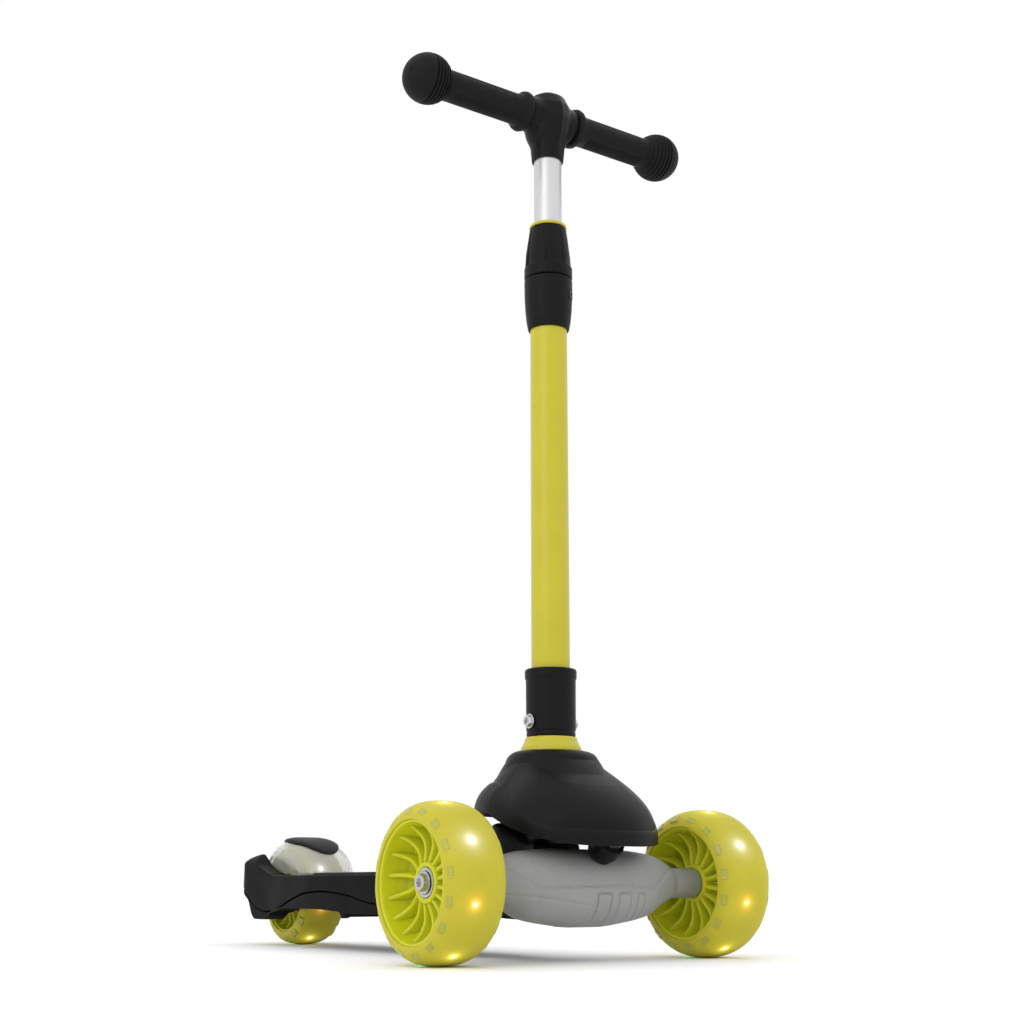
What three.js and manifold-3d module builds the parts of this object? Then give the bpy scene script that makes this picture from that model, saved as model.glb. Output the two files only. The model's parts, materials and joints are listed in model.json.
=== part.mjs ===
// Lean-to-steer kick scooter for a small child, in millimetres.
// +X is forward, +Y is the rider's left, +Z is up. The floor is z = 0 and the origin is on it,
// under the middle of the scooter's bounding box.
import * as THREE from 'three';
import { mergeVertices } from 'three/addons/utils/BufferGeometryUtils.js';
import Module from 'manifold-3d';

const wasm = await Module();
wasm.setup();

// ---- Driving dimensions -------------------------------------------------------------------

const GAP = 0.3; // between neighbouring pieces that touch
const RUNNING = 0.15; // radial clearance of a shaft that turns or slides
const AXLE_CLEAR = 0.2; // radial clearance of a shaft through a plain hole
const BEYOND = 60; // further out than any part of the deck

const WHEELBASE = 464;
const TAIL_OVERHANG = 66; // rear axle to the end of the tail
const TRACK = 263;
const STEM_SETBACK = 36.3; // stem axis behind the front axle

const FRONT = { radius: 60, half: 26.8, crown: 17.2, side: 47.2, hub: 12.5, blades: 14, sweep: 34 };
const REAR = { radius: 50, half: 23.5, crown: 12, side: 38.6, hub: 19.5, blades: 10, sweep: 34 };

const FRONT_X = (FRONT.radius + WHEELBASE + TAIL_OVERHANG) / 2 - FRONT.radius;
const REAR_X = FRONT_X - WHEELBASE;
const TAIL_X = REAR_X - TAIL_OVERHANG;
const STEM_X = FRONT_X - STEM_SETBACK;

const AXLE_R = 4;
const BEARING = { radius: 11, width: 7 };

const DECK = { top: 68, bottom: 33, half: 55, wall: 4, front: 160, tailHalf: 47 };
const PAD = { front: 132, back: -142, half: 44, thick: 2.2 };
const SLOT = { half: 27.6, front: REAR_X + 62, mouth: 16 };
const LUG_BOTTOM = 25;

const BRAKE = { inner: 53, wall: 2, half: 27.2, pin: 1.6, pinX: REAR_X + 56, pinZ: 62, lip: REAR_X + 71 };

const NECK = { back: 148, front: 206, half: 25, shoulder: 98, socket: 20.6 };
const KINGPIN = { x: FRONT_X + 3, z: 68, slope: THREE.MathUtils.degToRad(32), radius: 5, foot: -58, head: 51 };
// Where the beam's faces and the bushes lie, measured along the kingpin.
const LOWER_BUSH = { radius: 13, from: -36.2, to: -31.3, boss: 21 };
const UPPER_BUSH = { radius: 11, from: 27.8, to: 32.2, boss: 12.5 };
const BEAM = { top: 86, bottom: 26, forward: 34, back: 26, boss: 12, end: TRACK / 2 - FRONT.hub - 0.6 };

const HOOD = { x: STEM_X + 18.3, length: 77, width: 73, crest: 151, wall: 2.6, nose: 87, tail: 113.6 };
const TURRET = { rim: 26.2, top: 165.4 };

const TUBE = { outer: 16.25, wall: 1.75, foot: 118, head: 604 };
const INNER = { radius: 12.5, wall: 1.4, foot: 400 };
const CLAMP = { foot: 534, seam: 582, head: 631, radius: 21.4 };
const COLLAR = { foot: 177.3, head: 233.4, bolt: 189.4, boltR: 2.5, hole: 2.8, seat: 22.2 };
const BAR = { z: 739.5, ball: 129.4, ballR: 22.3, grip: 13.8, tube: 9.5, skirt: 696.5, crown: 764.5 };

const ROUND = 24; // facets round a tube
const SMALL = 16; // facets round a bolt or bearing
const WHEEL_FACETS = 32; // facets round a wheel

// ---- Materials ----------------------------------------------------------------------------

const FINISH = {
  black: { color: '#1c1c1d', roughness: 0.55, metalness: 0 },
  rubber: { color: '#161616', roughness: 0.85, metalness: 0 },
  grey: { color: '#8f9092', roughness: 0.5, metalness: 0 },
  paint: { color: '#b9c020', roughness: 0.35, metalness: 0 },
  lime: { color: '#c6d12c', roughness: 0.3, metalness: 0 },
  chrome: { color: '#c9cacc', roughness: 0.2, metalness: 1 },
  steel: { color: '#9a9b9e', roughness: 0.35, metalness: 1 },
  clear: { color: '#dfe3e4', roughness: 0.08, metalness: 0 },
};

const bodies = {};
const scooter = new THREE.Group();

function addPiece(body, name, finish, geometry) {
  if (!bodies[body]) {
    bodies[body] = new THREE.Group();
    scooter.add(bodies[body]);
  }
  const mesh = new THREE.Mesh(closed(geometry), new THREE.MeshStandardMaterial(FINISH[finish]));
  mesh.name = name;
  mesh.geometry.computeVertexNormals();
  bodies[body].add(mesh);
}

// ---- Geometry helpers ---------------------------------------------------------------------

// One closed surface with shared corners, no collapsed faces, and its faces pointing out.
function closed(geometry) {
  geometry.deleteAttribute('normal');
  geometry.deleteAttribute('uv');
  const merged = mergeVertices(geometry, 1e-4);
  const index = merged.index.array;
  const at = merged.attributes.position;
  const kept = [];
  const corners = [new THREE.Vector3(), new THREE.Vector3(), new THREE.Vector3()];
  let volume = 0;
  for (let i = 0; i < index.length; i += 3) {
    const [a, b, c] = [index[i], index[i + 1], index[i + 2]];
    if (a === b || b === c || c === a) continue;
    kept.push(a, b, c);
    [a, b, c].forEach((vertex, n) => corners[n].fromBufferAttribute(at, vertex));
    volume += corners[0].dot(corners[1].cross(corners[2]));
  }
  if (volume < 0) kept.reverse();
  merged.setIndex(kept);
  return merged;
}

function toSolid(geometry) {
  const shape = closed(geometry);
  return new wasm.Manifold(new wasm.Mesh({
    numProp: 3,
    vertProperties: new Float32Array(shape.attributes.position.array),
    triVerts: new Uint32Array(shape.index.array),
  }));
}

function toGeometry(solid) {
  const mesh = solid.getMesh();
  const geometry = new THREE.BufferGeometry();
  geometry.setAttribute('position', new THREE.BufferAttribute(mesh.vertProperties, 3));
  geometry.setIndex(new THREE.BufferAttribute(mesh.triVerts, 1));
  return geometry;
}

function combine(operation, first, others) {
  return toGeometry(others.reduce((solid, other) => solid[operation](toSolid(other)), toSolid(first)));
}

const join = (first, ...others) => combine('add', first, others);
const cut = (first, ...others) => combine('subtract', first, others);
const common = (first, ...others) => combine('intersect', first, others);

// A profile of [radius, z] points turned round the Z axis.
function turned(profile, facets = ROUND) {
  const points = profile.map(([r, z]) => new THREE.Vector2(r, z));
  return new THREE.LatheGeometry(points, facets).rotateX(Math.PI / 2);
}

function rod(radius, low, high, facets = SMALL) {
  return turned([[0, low], [radius, low], [radius, high], [0, high]], facets);
}

function sleeve(inner, outer, low, high, facets = ROUND) {
  return turned([[inner, low], [outer, low], [outer, high], [inner, high], [inner, low]], facets);
}

// A six-sided nut with a round hole, `across` being its radius over the corners.
const hexNut = (hole, across, low, high) => cut(rod(across, low, high, 6), rod(hole, low - 1, high + 1));

// Turns a shape made round Z so that it lies along Y, through the point (x, z).
const alongY = (geometry, x, z, side = 1) => geometry.rotateX(-side * Math.PI / 2).translate(x, 0, z);

// Turns a shape made round Z onto the inclined steering axis.
const alongKingpin = (geometry) =>
  geometry.rotateY(Math.PI / 2 - KINGPIN.slope).translate(KINGPIN.x, 0, KINGPIN.z);

const aroundStem = (geometry) => geometry.translate(STEM_X, 0, 0);

function box(low, high) {
  const size = low.map((value, i) => high[i] - value);
  const middle = low.map((value, i) => (high[i] + value) / 2);
  return new THREE.BoxGeometry(...size).translate(...middle);
}

const toShape = (points) => new THREE.Shape(points.map(([x, y]) => new THREE.Vector2(x, y)));

// A plan outline in X and Y, made solid between two heights.
function slab(points, low, high) {
  return new THREE.ExtrudeGeometry(toShape(points), { depth: high - low, bevelEnabled: false })
    .translate(0, 0, low);
}

// A side outline in X and Z, made solid across Y.
function rib(points, half) {
  return new THREE.ExtrudeGeometry(toShape(points), { depth: 2 * half, bevelEnabled: false })
    .rotateX(Math.PI / 2)
    .translate(0, half, 0);
}

// A smooth run through the given [x, y] points.
function flowing(points, steps) {
  const curve = new THREE.SplineCurve(points.map(([x, y]) => new THREE.Vector2(x, y)));
  return curve.getPoints(steps).map((point) => [point.x, point.y]);
}

// An outline in Y and Z, made solid along X.
function tunnel(points, low, high) {
  return new THREE.ExtrudeGeometry(toShape(points), { depth: high - low, bevelEnabled: false })
    .rotateX(Math.PI / 2)
    .rotateZ(Math.PI / 2)
    .translate(low, 0, 0);
}

const mirrored = (half) => [...half, ...half.map(([x, y]) => [x, -y]).reverse()];

// A skin through equal rings of [x, y, z] points, closed with a fan at both ends.
function loft(rings) {
  const count = rings[0].length;
  const positions = rings.flat(2);
  const index = [];
  for (let r = 0; r + 1 < rings.length; r++) {
    for (let i = 0; i < count; i++) {
      const a = r * count + i;
      const b = r * count + ((i + 1) % count);
      index.push(a, b, a + count, b, b + count, a + count);
    }
  }
  for (const [ring, start, turn] of [[rings[0], 0, 1], [rings.at(-1), (rings.length - 1) * count, -1]]) {
    const hub = positions.length / 3;
    const sum = ring.reduce((total, point) => total.map((value, i) => value + point[i]), [0, 0, 0]);
    positions.push(...sum.map((value) => value / count));
    for (let i = 0; i < count; i++) {
      const pair = [start + i, start + ((i + 1) % count)];
      index.push(...(turn > 0 ? [pair[1], pair[0], hub] : [...pair, hub]));
    }
  }
  const geometry = new THREE.BufferGeometry();
  geometry.setAttribute('position', new THREE.Float32BufferAttribute(positions, 3));
  geometry.setIndex(index);
  return geometry;
}

// ---- Deck ---------------------------------------------------------------------------------

// Half plan outline of the deck from the neck to the rounded tail corner.
function deckHalfPlan(inset) {
  const side = DECK.half - inset;
  const tail = DECK.tailHalf - inset;
  const corner = 25 - inset;
  const outline = flowing([
    [DECK.front - inset, 31 - inset], [132, 42 - inset], [96, side - 3], [50, side], [-110, side],
    [-175, side - 3.5], [REAR_X, tail + 0.5], [TAIL_X + 28, tail],
  ], 18);
  for (let step = 1; step <= 5; step++) {
    const angle = (step / 5) * Math.PI / 2;
    outline.push([
      TAIL_X + inset + corner - corner * Math.sin(angle),
      tail - corner + corner * Math.cos(angle),
    ]);
  }
  return outline;
}

// The deck's plan, shrunk by the inset and taller than the deck.
const deckBlank = (inset) => slab(mirrored(deckHalfPlan(inset)), 20, 100);

function wheelSlot() {
  const half = flowing([
    [SLOT.front, SLOT.half - 12], [SLOT.front - 4, SLOT.half - 3], [SLOT.front - 14, SLOT.half],
    [REAR_X - 30, SLOT.half], [TAIL_X + 14, SLOT.half - 2], [TAIL_X + 5, SLOT.mouth + 2],
    [TAIL_X - 5, SLOT.mouth],
  ], 12);
  return slab(mirrored(half), 0, 120);
}

// The line where the shell meets the cover, from the neck to the tail.
const PARTING = flowing([
  [DECK.front + 5, 42], [60, 40], [0, 43], [-46, 50], [-93, 53], [-124, 51.5], [-158, 45],
  [-190, 37], [-222, 33], [-247, 38], [-266, 49], [TAIL_X + 10, 58], [TAIL_X - 2, 61],
], 30);

// The crown across the deck, which rounds its upper edges and the two humps of the tail.
function deckCrown() {
  const half = [
    [56, 20], [56, 60], [54.6, 66], [51, 70.5], [47, 77], [43, 83], [37, 87.6], [29, 90.6], [20, 91.6],
  ];
  const left = half.map(([y, z]) => [-y, z]).reverse();
  return tunnel([...half, ...left], TAIL_X - 5, DECK.front + 5);
}

function deckShell() {
  const tailLine = flowing([
    [TAIL_X - 2, 64], [TAIL_X + 2, 72], [TAIL_X + 11, 83.5], [TAIL_X + 27, 91], [TAIL_X + 34, 87.5],
    [-247, 78.5], [-225, 71.5], [-202, DECK.top],
  ], 16);
  const topLine = [...tailLine, [DECK.front + 5, DECK.top]];
  const outer = common(deckBlank(0), rib([...PARTING, ...topLine], BEYOND), deckCrown());
  const hollow = box([-140, -DECK.half, 20], [DECK.front - 8, DECK.half, DECK.top - DECK.wall]);
  const cavity = common(deckBlank(DECK.wall), hollow);
  return cut(outer, cavity, wheelSlot(), rearAxleHole(), boltHeadPockets(), brakePinHole(), neckPocket());
}

function deckCover() {
  const lowered = PARTING.map(([x, z]) => [x, z - GAP]);
  const underside = flowing([
    [TAIL_X - 2, 57], [TAIL_X + 8, 53.5], [-275, 48.5], [-265, 43.5], [-259.5, 36], [-255, 29],
    [-247, LUG_BOTTOM], [-222, LUG_BOTTOM], [-214, 28], [-206, 34], [-170, 36.5], [-113, 36.5], [-60, 34.5],
  ], 30);
  const foot = [[-54, 30], [-47, 30], [-41, DECK.bottom], [DECK.front + 5, DECK.bottom]];
  const outer = common(deckBlank(0), rib([...lowered, ...underside, ...foot], BEYOND));
  const hollow = box([-38, -DECK.half, DECK.bottom + 3], [DECK.front - 8, DECK.half, 60]);
  const cavity = common(deckBlank(DECK.wall), hollow);
  return cut(outer, cavity, wheelSlot(), rearAxleHole(), boltHeadPockets(), ...screwHoles(), neckPocket());
}

const rearAxleHole = () => alongY(rod(AXLE_R + AXLE_CLEAR, -BEYOND, BEYOND), REAR_X, REAR.radius);

const AXLE_END = { pocket: 9, depth: 41, head: 7, tip: 46, cap: 46.4 };

function boltHeadPockets() {
  const pocket = rod(AXLE_END.pocket, AXLE_END.depth, BEYOND);
  return alongY(join(pocket, rod(AXLE_END.pocket, -BEYOND, -AXLE_END.depth)), REAR_X, REAR.radius);
}

// A plug that closes one axle pocket flush with the side of the deck.
function axleCap(side) {
  const plug = alongY(rod(AXLE_END.pocket - GAP, AXLE_END.cap, BEYOND), REAR_X, REAR.radius, side);
  return common(deckBlank(0), plug);
}

const brakePinHole = () => alongY(rod(BRAKE.pin + AXLE_CLEAR, -33, 33, 12), BRAKE.pinX, BRAKE.pinZ);

const neckPocket = () => box([NECK.back - GAP, -NECK.half - GAP, 20], [NECK.front, NECK.half + GAP, 100]);

const SCREW = { radius: 2, head: 4, places: [[40, 38], [40, -38], [118, 34], [118, -34]] };

const screwHoles = () => SCREW.places.map(([x, y]) => join(
  rod(SCREW.radius + AXLE_CLEAR, 20, 60, 10).translate(x, y, 0),
  rod(SCREW.head + AXLE_CLEAR, 20, DECK.bottom + 1.2, 10).translate(x, y, 0),
));

function coverScrew(x, y) {
  return turned([
    [0, DECK.bottom], [SCREW.head, DECK.bottom], [SCREW.head, DECK.bottom + 1], [SCREW.radius, DECK.bottom + 1],
    [SCREW.radius, DECK.bottom + 12], [0, DECK.bottom + 12],
  ], 10).translate(x, y, 0);
}

function gripPad() {
  const corner = 18;
  const half = [];
  for (const [x, from] of [[PAD.front - corner, 0], [PAD.back + corner, 1]]) {
    for (let step = 0; step <= 5; step++) {
      const angle = (from + step / 5) * Math.PI / 2;
      half.push([x + corner * Math.cos(angle), PAD.half - corner + corner * Math.sin(angle)]);
    }
  }
  return slab(mirrored(half), DECK.top + 0.1, DECK.top + PAD.thick);
}

addPiece('deck', 'grip_pad', 'rubber', gripPad());

// ---- Neck, steering pivot and stem foot ---------------------------------------------------

function neckFrame() {
  const rounding = [
    [NECK.half, 20], [NECK.half, 82], [NECK.half - 2, 90], [NECK.half - 6, 95.5], [15, 99], [10, 107],
  ];
  const left = rounding.map(([y, z]) => [-y, z]).reverse();
  const arch = tunnel([...rounding, ...left], NECK.back - 5, NECK.front + 60);
  const spine = rib([
    [NECK.back, 34], [NECK.front - 14, 31], [NECK.front - 3, 36], [NECK.front, 62], [NECK.front, 90],
    [KINGPIN.x + 38, 90], [KINGPIN.x + 40, 96], [KINGPIN.x + 30, 101], [STEM_X + 18, 106],
    [STEM_X - 22, 106], [STEM_X - 30, 103], [160, 92], [NECK.back, 78],
  ], 12);
  const block = rib([
    [NECK.back, 34], [NECK.front - 14, 31], [NECK.front - 4, 36], [NECK.front, 62], [NECK.front, 90],
    [STEM_X + 4, 96], [STEM_X - 22, NECK.shoulder], [162, 92], [NECK.back, 78],
  ], NECK.half);
  const socket = aroundStem(rod(NECK.socket, NECK.shoulder - 4, 156.7, ROUND));
  const lowerBoss = alongKingpin(rod(LOWER_BUSH.boss, -48, LOWER_BUSH.from - GAP, ROUND));
  const upperBoss = alongKingpin(rod(UPPER_BUSH.boss, UPPER_BUSH.to + GAP, 45, ROUND));
  const stemBore = aroundStem(rod(TUBE.outer + GAP, TUBE.foot - 3, 200, ROUND));
  const pinBore = alongKingpin(rod(KINGPIN.radius + RUNNING, -80, 60));
  const nutPocket = alongKingpin(rod(9.4, -90, -52));
  const headRoom = alongKingpin(rod(10.5, 45.1, 90));
  const bushRoom = alongKingpin(rod(UPPER_BUSH.radius + 2 * GAP, 15, UPPER_BUSH.to + GAP / 2, ROUND));
  const beamRoom = alongKingpin(rod(LOWER_BUSH.boss + 6, LOWER_BUSH.from - GAP / 2, -5, ROUND));
  const body = join(spine, common(block, arch), socket, lowerBoss, upperBoss);
  return cut(body, stemBore, pinBore, nutPocket, headRoom, bushRoom, beamRoom);
}

addPiece('deck', 'neck_frame', 'black', neckFrame());
addPiece('deck', 'kingpin_bolt', 'steel', alongKingpin(join(
  rod(KINGPIN.radius, KINGPIN.foot, 45.5),
  rod(8.5, 45.3, KINGPIN.head, 6),
)));
addPiece('deck', 'kingpin_nut', 'steel', alongKingpin(
  hexNut(KINGPIN.radius + AXLE_CLEAR, 8, KINGPIN.foot, KINGPIN.foot + 5.5),
));

addPiece('deck', 'deck_shell', 'black', deckShell());
addPiece('deck', 'deck_cover', 'black', deckCover());
addPiece('deck', 'deck_plate', 'steel', box([-130, -24, 56], [NECK.back - 2, 24, 59]));
SCREW.places.forEach(([x, y], i) => addPiece('deck', `cover_screw_${i + 1}`, 'steel', coverScrew(x, y)));

// ---- Hood ---------------------------------------------------------------------------------

// Height of the hood's lower edge, which falls from the middle of the sides to the nose.
function hoodEdge(x) {
  const share = THREE.MathUtils.clamp((HOOD.x + HOOD.length - x) / (HOOD.length + 5), 0, 1);
  return HOOD.nose + (HOOD.tail - HOOD.nose) * Math.pow(share, 1.6);
}

function hoodRing(share, count, inset) {
  const ring = [];
  for (let i = 0; i < count; i++) {
    const angle = (i / count) * 2 * Math.PI;
    const backness = (1 - Math.cos(angle)) / 2;
    const fullness = THREE.MathUtils.lerp(2.1, 3.6, backness);
    const dome = Math.max(0, 1 - Math.pow(share, fullness));
    const rise = Math.pow(dome, THREE.MathUtils.lerp(0.66, 0.5, backness));
    const edge = hoodEdge(HOOD.x + HOOD.length * Math.cos(angle));
    ring.push([
      HOOD.x + (HOOD.length - inset) * share * Math.cos(angle),
      (HOOD.width - inset) * share * Math.sin(angle),
      edge + (HOOD.crest - inset - edge) * rise,
    ]);
  }
  return ring;
}

function hood() {
  const shares = [1, 0.97, 0.9, 0.78, 0.6, 0.3];
  const count = 26;
  const outer = loft(shares.map((share) => hoodRing(share, count, 0)));
  const innerRings = shares.map((share) => hoodRing(share, count, HOOD.wall));
  const skirt = innerRings[0].map(([x, y]) => [x, y, HOOD.nose - 20]);
  const turret = aroundStem(turned([
    [0, 124], [48, 124], [47.5, 136], [45, 148], [39.5, 158], [34, 162.5], [29, TURRET.top - 0.4],
    [0, TURRET.top],
  ], count));
  const under = aroundStem(turned([
    [0, 100], [44, 100], [44, 136], [41.5, 147], [36, 156], [TURRET.rim, 160], [TURRET.rim, 180], [0, 180],
  ], count));
  return cut(join(outer, turret), loft([skirt, ...innerRings]), under);
}

addPiece('deck', 'hood', 'black', hood());

addPiece('deck', 'stem_cone', 'paint', aroundStem(turned([
  [TUBE.outer + GAP, 157.2], [25.7, 157.2], [25.7, 165.6], [24.6, 168.4], [22.6, 172.5], [21.3, 177],
  [TUBE.outer + GAP, 177], [TUBE.outer + GAP, 157.2],
])));

const collarBoltHole = () => alongY(rod(COLLAR.hole, -30, 30, 12), STEM_X, COLLAR.bolt);

function baseCollar() {
  const body = turned([
    [TUBE.outer + GAP, COLLAR.foot], [20, COLLAR.foot], [20.2, COLLAR.foot + 4], [20.8, COLLAR.foot + 5],
    [21, COLLAR.head - 9], [21.8, COLLAR.head - 7], [21.8, COLLAR.head - 1.2], [21, COLLAR.head],
    [TUBE.outer + GAP, COLLAR.head], [TUBE.outer + GAP, COLLAR.foot],
  ]);
  return cut(aroundStem(body), collarBoltHole());
}

function stemTube() {
  const tube = sleeve(TUBE.outer - TUBE.wall, TUBE.outer, TUBE.foot, TUBE.head);
  return cut(aroundStem(tube), collarBoltHole());
}

addPiece('deck', 'base_collar', 'black', baseCollar());
addPiece('deck', 'collar_bolt', 'steel', alongY(join(
  rod(COLLAR.boltR, -COLLAR.seat - 0.2, 25, 12),
  rod(2 * COLLAR.boltR, -26, -COLLAR.seat),
), STEM_X, COLLAR.bolt));
addPiece('deck', 'collar_nut', 'steel', alongY(hexNut(COLLAR.hole, 4.8, 21.9, 25), STEM_X, COLLAR.bolt));
addPiece('deck', 'stem_tube', 'paint', stemTube());

// ---- Height clamp -------------------------------------------------------------------------

const CLAMP_SCREW = { z: 566, angle: THREE.MathUtils.degToRad(33), radius: 3.4 };
const facingClampScrew = (geometry) =>
  aroundStem(geometry.rotateY(Math.PI / 2).rotateZ(CLAMP_SCREW.angle).translate(0, 0, CLAMP_SCREW.z));

addPiece('deck', 'clamp_sleeve', 'black', cut(
  aroundStem(turned([
    [TUBE.outer + GAP, CLAMP.foot], [17.6, CLAMP.foot], [18.3, CLAMP.foot + 1.5], [20.6, CLAMP.foot + 18],
    [21.3, CLAMP.foot + 32], [CLAMP.radius, CLAMP.seam - GAP], [TUBE.outer + GAP, CLAMP.seam - GAP],
    [TUBE.outer + GAP, CLAMP.foot],
  ])),
  facingClampScrew(rod(CLAMP_SCREW.radius + AXLE_CLEAR, 17.5, 30, 14)),
));
addPiece('deck', 'clamp_screw', 'steel', facingClampScrew(rod(CLAMP_SCREW.radius, 17.8, 21.6, 14)));
addPiece('deck', 'clamp_collet', 'rubber', aroundStem(
  sleeve(INNER.radius + 2 * RUNNING, 14.3, 560, CLAMP.head - 2),
));

addPiece('lock', 'twist_collar', 'black', aroundStem(turned([
  [TUBE.outer + GAP, CLAMP.seam], [CLAMP.radius, CLAMP.seam], [CLAMP.radius, 592.6], [20.8, 593.6],
  [19.4, 606], [17, 622], [15.9, CLAMP.head], [14.6, CLAMP.head], [14.6, TUBE.head + 2],
  [TUBE.outer + GAP, TUBE.head + 2], [TUBE.outer + GAP, CLAMP.seam],
])));
addPiece('lock', 'top_ring', 'paint', aroundStem(turned([
  [12.9, CLAMP.head + GAP], [16.4, CLAMP.head + GAP], [16.8, CLAMP.head + 2], [16.4, CLAMP.head + 6],
  [12.9, CLAMP.head + 6], [12.9, CLAMP.head + GAP],
])));

// ---- Handlebar ----------------------------------------------------------------------------

addPiece('handlebar', 'inner_tube', 'chrome', aroundStem(
  sleeve(INNER.radius - INNER.wall, INNER.radius, INNER.foot, BAR.z - BAR.tube - 3),
));
addPiece('handlebar', 'tube_guide', 'rubber', aroundStem(turned([
  [INNER.radius - 2, INNER.foot - 8], [14.36, INNER.foot - 8], [14.36, INNER.foot - GAP],
  [INNER.radius - 2, INNER.foot - GAP], [INNER.radius - 2, INNER.foot - 8],
])));

function handleHub() {
  const post = aroundStem(turned([
    [0, BAR.skirt], [14.4, BAR.skirt], [14.8, BAR.skirt + 4], [15.8, 712], [20, 722], [22.5, 735],
    [21.5, 748], [16.5, 758.5], [9, 763.2], [0, BAR.crown],
  ]));
  const arm = alongY(turned([
    [0, -25], [15.6, -25], [17.4, -12], [17.4, 12], [15.6, 25], [0, 25],
  ]), STEM_X, BAR.z);
  const tubeBore = aroundStem(rod(INNER.radius + GAP, BAR.skirt - 5, BAR.z - BAR.tube - 2.5, ROUND));
  const barBore = alongY(rod(BAR.tube + GAP, -40, 40), STEM_X, BAR.z);
  return cut(join(post, arm), tubeBore, barBore);
}

// One grip with its inner flange, its shaft, and the ball at the end.
function gripSolid(side) {
  const start = 25.3;
  const shaft = turned([
    [0, start], [15.8, start], [18.2, start + 2.5], [18.2, start + 5.5], [14.6, start + 9],
    [BAR.grip, start + 14], [BAR.grip, BAR.ball], [0, BAR.ball],
  ]);
  const ball = new THREE.SphereGeometry(BAR.ballR, ROUND, 10).rotateX(Math.PI / 2).translate(0, 0, BAR.ball);
  return alongY(cut(join(shaft, ball), rod(BAR.tube + GAP, 0, 126)), STEM_X, BAR.z, side);
}

addPiece('handlebar', 'handle_hub', 'black', handleHub());
const barHalf = BAR.ball - 5.4;
addPiece('handlebar', 'cross_bar', 'steel', alongY(
  sleeve(BAR.tube - 1.5, BAR.tube, -barHalf, barHalf, SMALL), STEM_X, BAR.z,
));
addPiece('handlebar', 'grip_left', 'rubber', gripSolid(1));
addPiece('handlebar', 'grip_right', 'rubber', gripSolid(-1));

// ---- Front truck --------------------------------------------------------------------------

// One cross-section of the beam at the given distance from the middle.
function beamRing(y, top, bottom, forward, back) {
  const ring = [];
  const count = 20;
  const middle = (top + bottom) / 2;
  const half = (top - bottom) / 2;
  for (let i = 0; i < count; i++) {
    const angle = (i / count) * 2 * Math.PI;
    const [c, s] = [Math.cos(angle), Math.sin(angle)];
    const squareness = 0.82;
    const reach = c > 0 ? forward : back;
    ring.push([
      FRONT_X + reach * Math.sign(c) * Math.pow(Math.abs(c), squareness),
      y,
      middle + half * Math.sign(s) * Math.pow(Math.abs(s), squareness),
    ]);
  }
  return ring;
}

function truckBeam() {
  const axle = FRONT.radius;
  const { top, bottom, forward, back, boss, end } = BEAM;
  const halfSections = [
    [end, axle + boss, axle - boss, boss, boss],
    [93, axle + boss, axle - boss, boss, boss],
    [85, axle + 16, axle - 14.6, 14.5, 14],
    [73, axle + 21, axle - 20, 19, 18],
    [58, top - 2, 32.5, 24.5, 22],
    [32, top, bottom + 2, 31, 25],
    [12, top, bottom, forward, back],
  ];
  const sections = [
    ...halfSections.map(([y, ...rest]) => [-y, ...rest]),
    ...halfSections.reverse(),
  ];
  const body = loft(sections.map((section) => beamRing(...section)));
  return cut(
    body,
    alongKingpin(rod(2 * LOWER_BUSH.radius, -70, LOWER_BUSH.to + GAP, ROUND)),
    alongKingpin(rod(UPPER_BUSH.radius + 8, UPPER_BUSH.from - GAP, 70, ROUND)),
    alongKingpin(rod(KINGPIN.radius + RUNNING, -60, 60)),
    alongY(rod(AXLE_R + AXLE_CLEAR, 82, 130), FRONT_X, axle),
    alongY(rod(AXLE_R + AXLE_CLEAR, 82, 130), FRONT_X, axle, -1),
  );
}

addPiece('truck', 'truck_beam', 'grey', truckBeam());
for (const [name, bush] of [['steer_bush_lower', LOWER_BUSH], ['steer_bush_upper', UPPER_BUSH]]) {
  addPiece('truck', name, 'rubber', alongKingpin(
    sleeve(KINGPIN.radius + RUNNING, bush.radius, bush.from, bush.to, SMALL),
  ));
}

// ---- Wheels -------------------------------------------------------------------------------

// The tyre's rounded tread from one side lip to the other, as [radius, offset] points.
function tyreProfile(wheel) {
  const power = 2.6;
  const drop = (wheel.radius - wheel.side) / wheel.crown;
  const limit = Math.pow(1 - Math.pow(1 - drop, power), 1 / power);
  const tread = [];
  const steps = 8;
  for (let i = 0; i <= steps; i++) {
    const share = Math.sin((i / steps - 0.5) * Math.PI) * limit;
    const fall = 1 - Math.pow(1 - Math.pow(Math.abs(share), power), 1 / power);
    tread.push([wheel.radius - wheel.crown * fall, share * wheel.half]);
  }
  const inner = wheel.side - 0.6;
  const edge = wheel.half * limit - 1;
  return [[inner, -edge], ...tread, [inner, edge], [inner, -edge]];
}

function bladeOutline(wheel, turn) {
  const [from, to] = [14, wheel.side - 2.4];
  const sweep = THREE.MathUtils.degToRad(wheel.sweep);
  const steps = 2;
  const side = (offset, reversed) => {
    const points = [];
    for (let i = 0; i <= steps; i++) {
      const share = reversed ? 1 - i / steps : i / steps;
      const r = from + (to - from) * share;
      const angle = turn + sweep * share * share + offset / r;
      points.push([r * Math.cos(angle), r * Math.sin(angle)]);
    }
    return points;
  };
  return [...side(-1, false), ...side(1, true)];
}

function wheelCore(wheel) {
  const rim = wheel.side - 0.9;
  const facets = WHEEL_FACETS;
  const hub = sleeve(BEARING.radius + AXLE_CLEAR, BEARING.radius + 4.4, -wheel.hub, wheel.hub, facets);
  const ring = sleeve(rim - 2.6, rim, 1.6 - wheel.half, wheel.half - 1.6, facets);
  const blades = [];
  for (let i = 0; i < wheel.blades; i++) {
    blades.push(slab(bladeOutline(wheel, (i / wheel.blades) * 2 * Math.PI), -9, 9));
  }
  return join(hub, ring, ...blades);
}

const bearing = (low, high) => sleeve(AXLE_R + RUNNING, BEARING.radius, low, high, SMALL);

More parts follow.
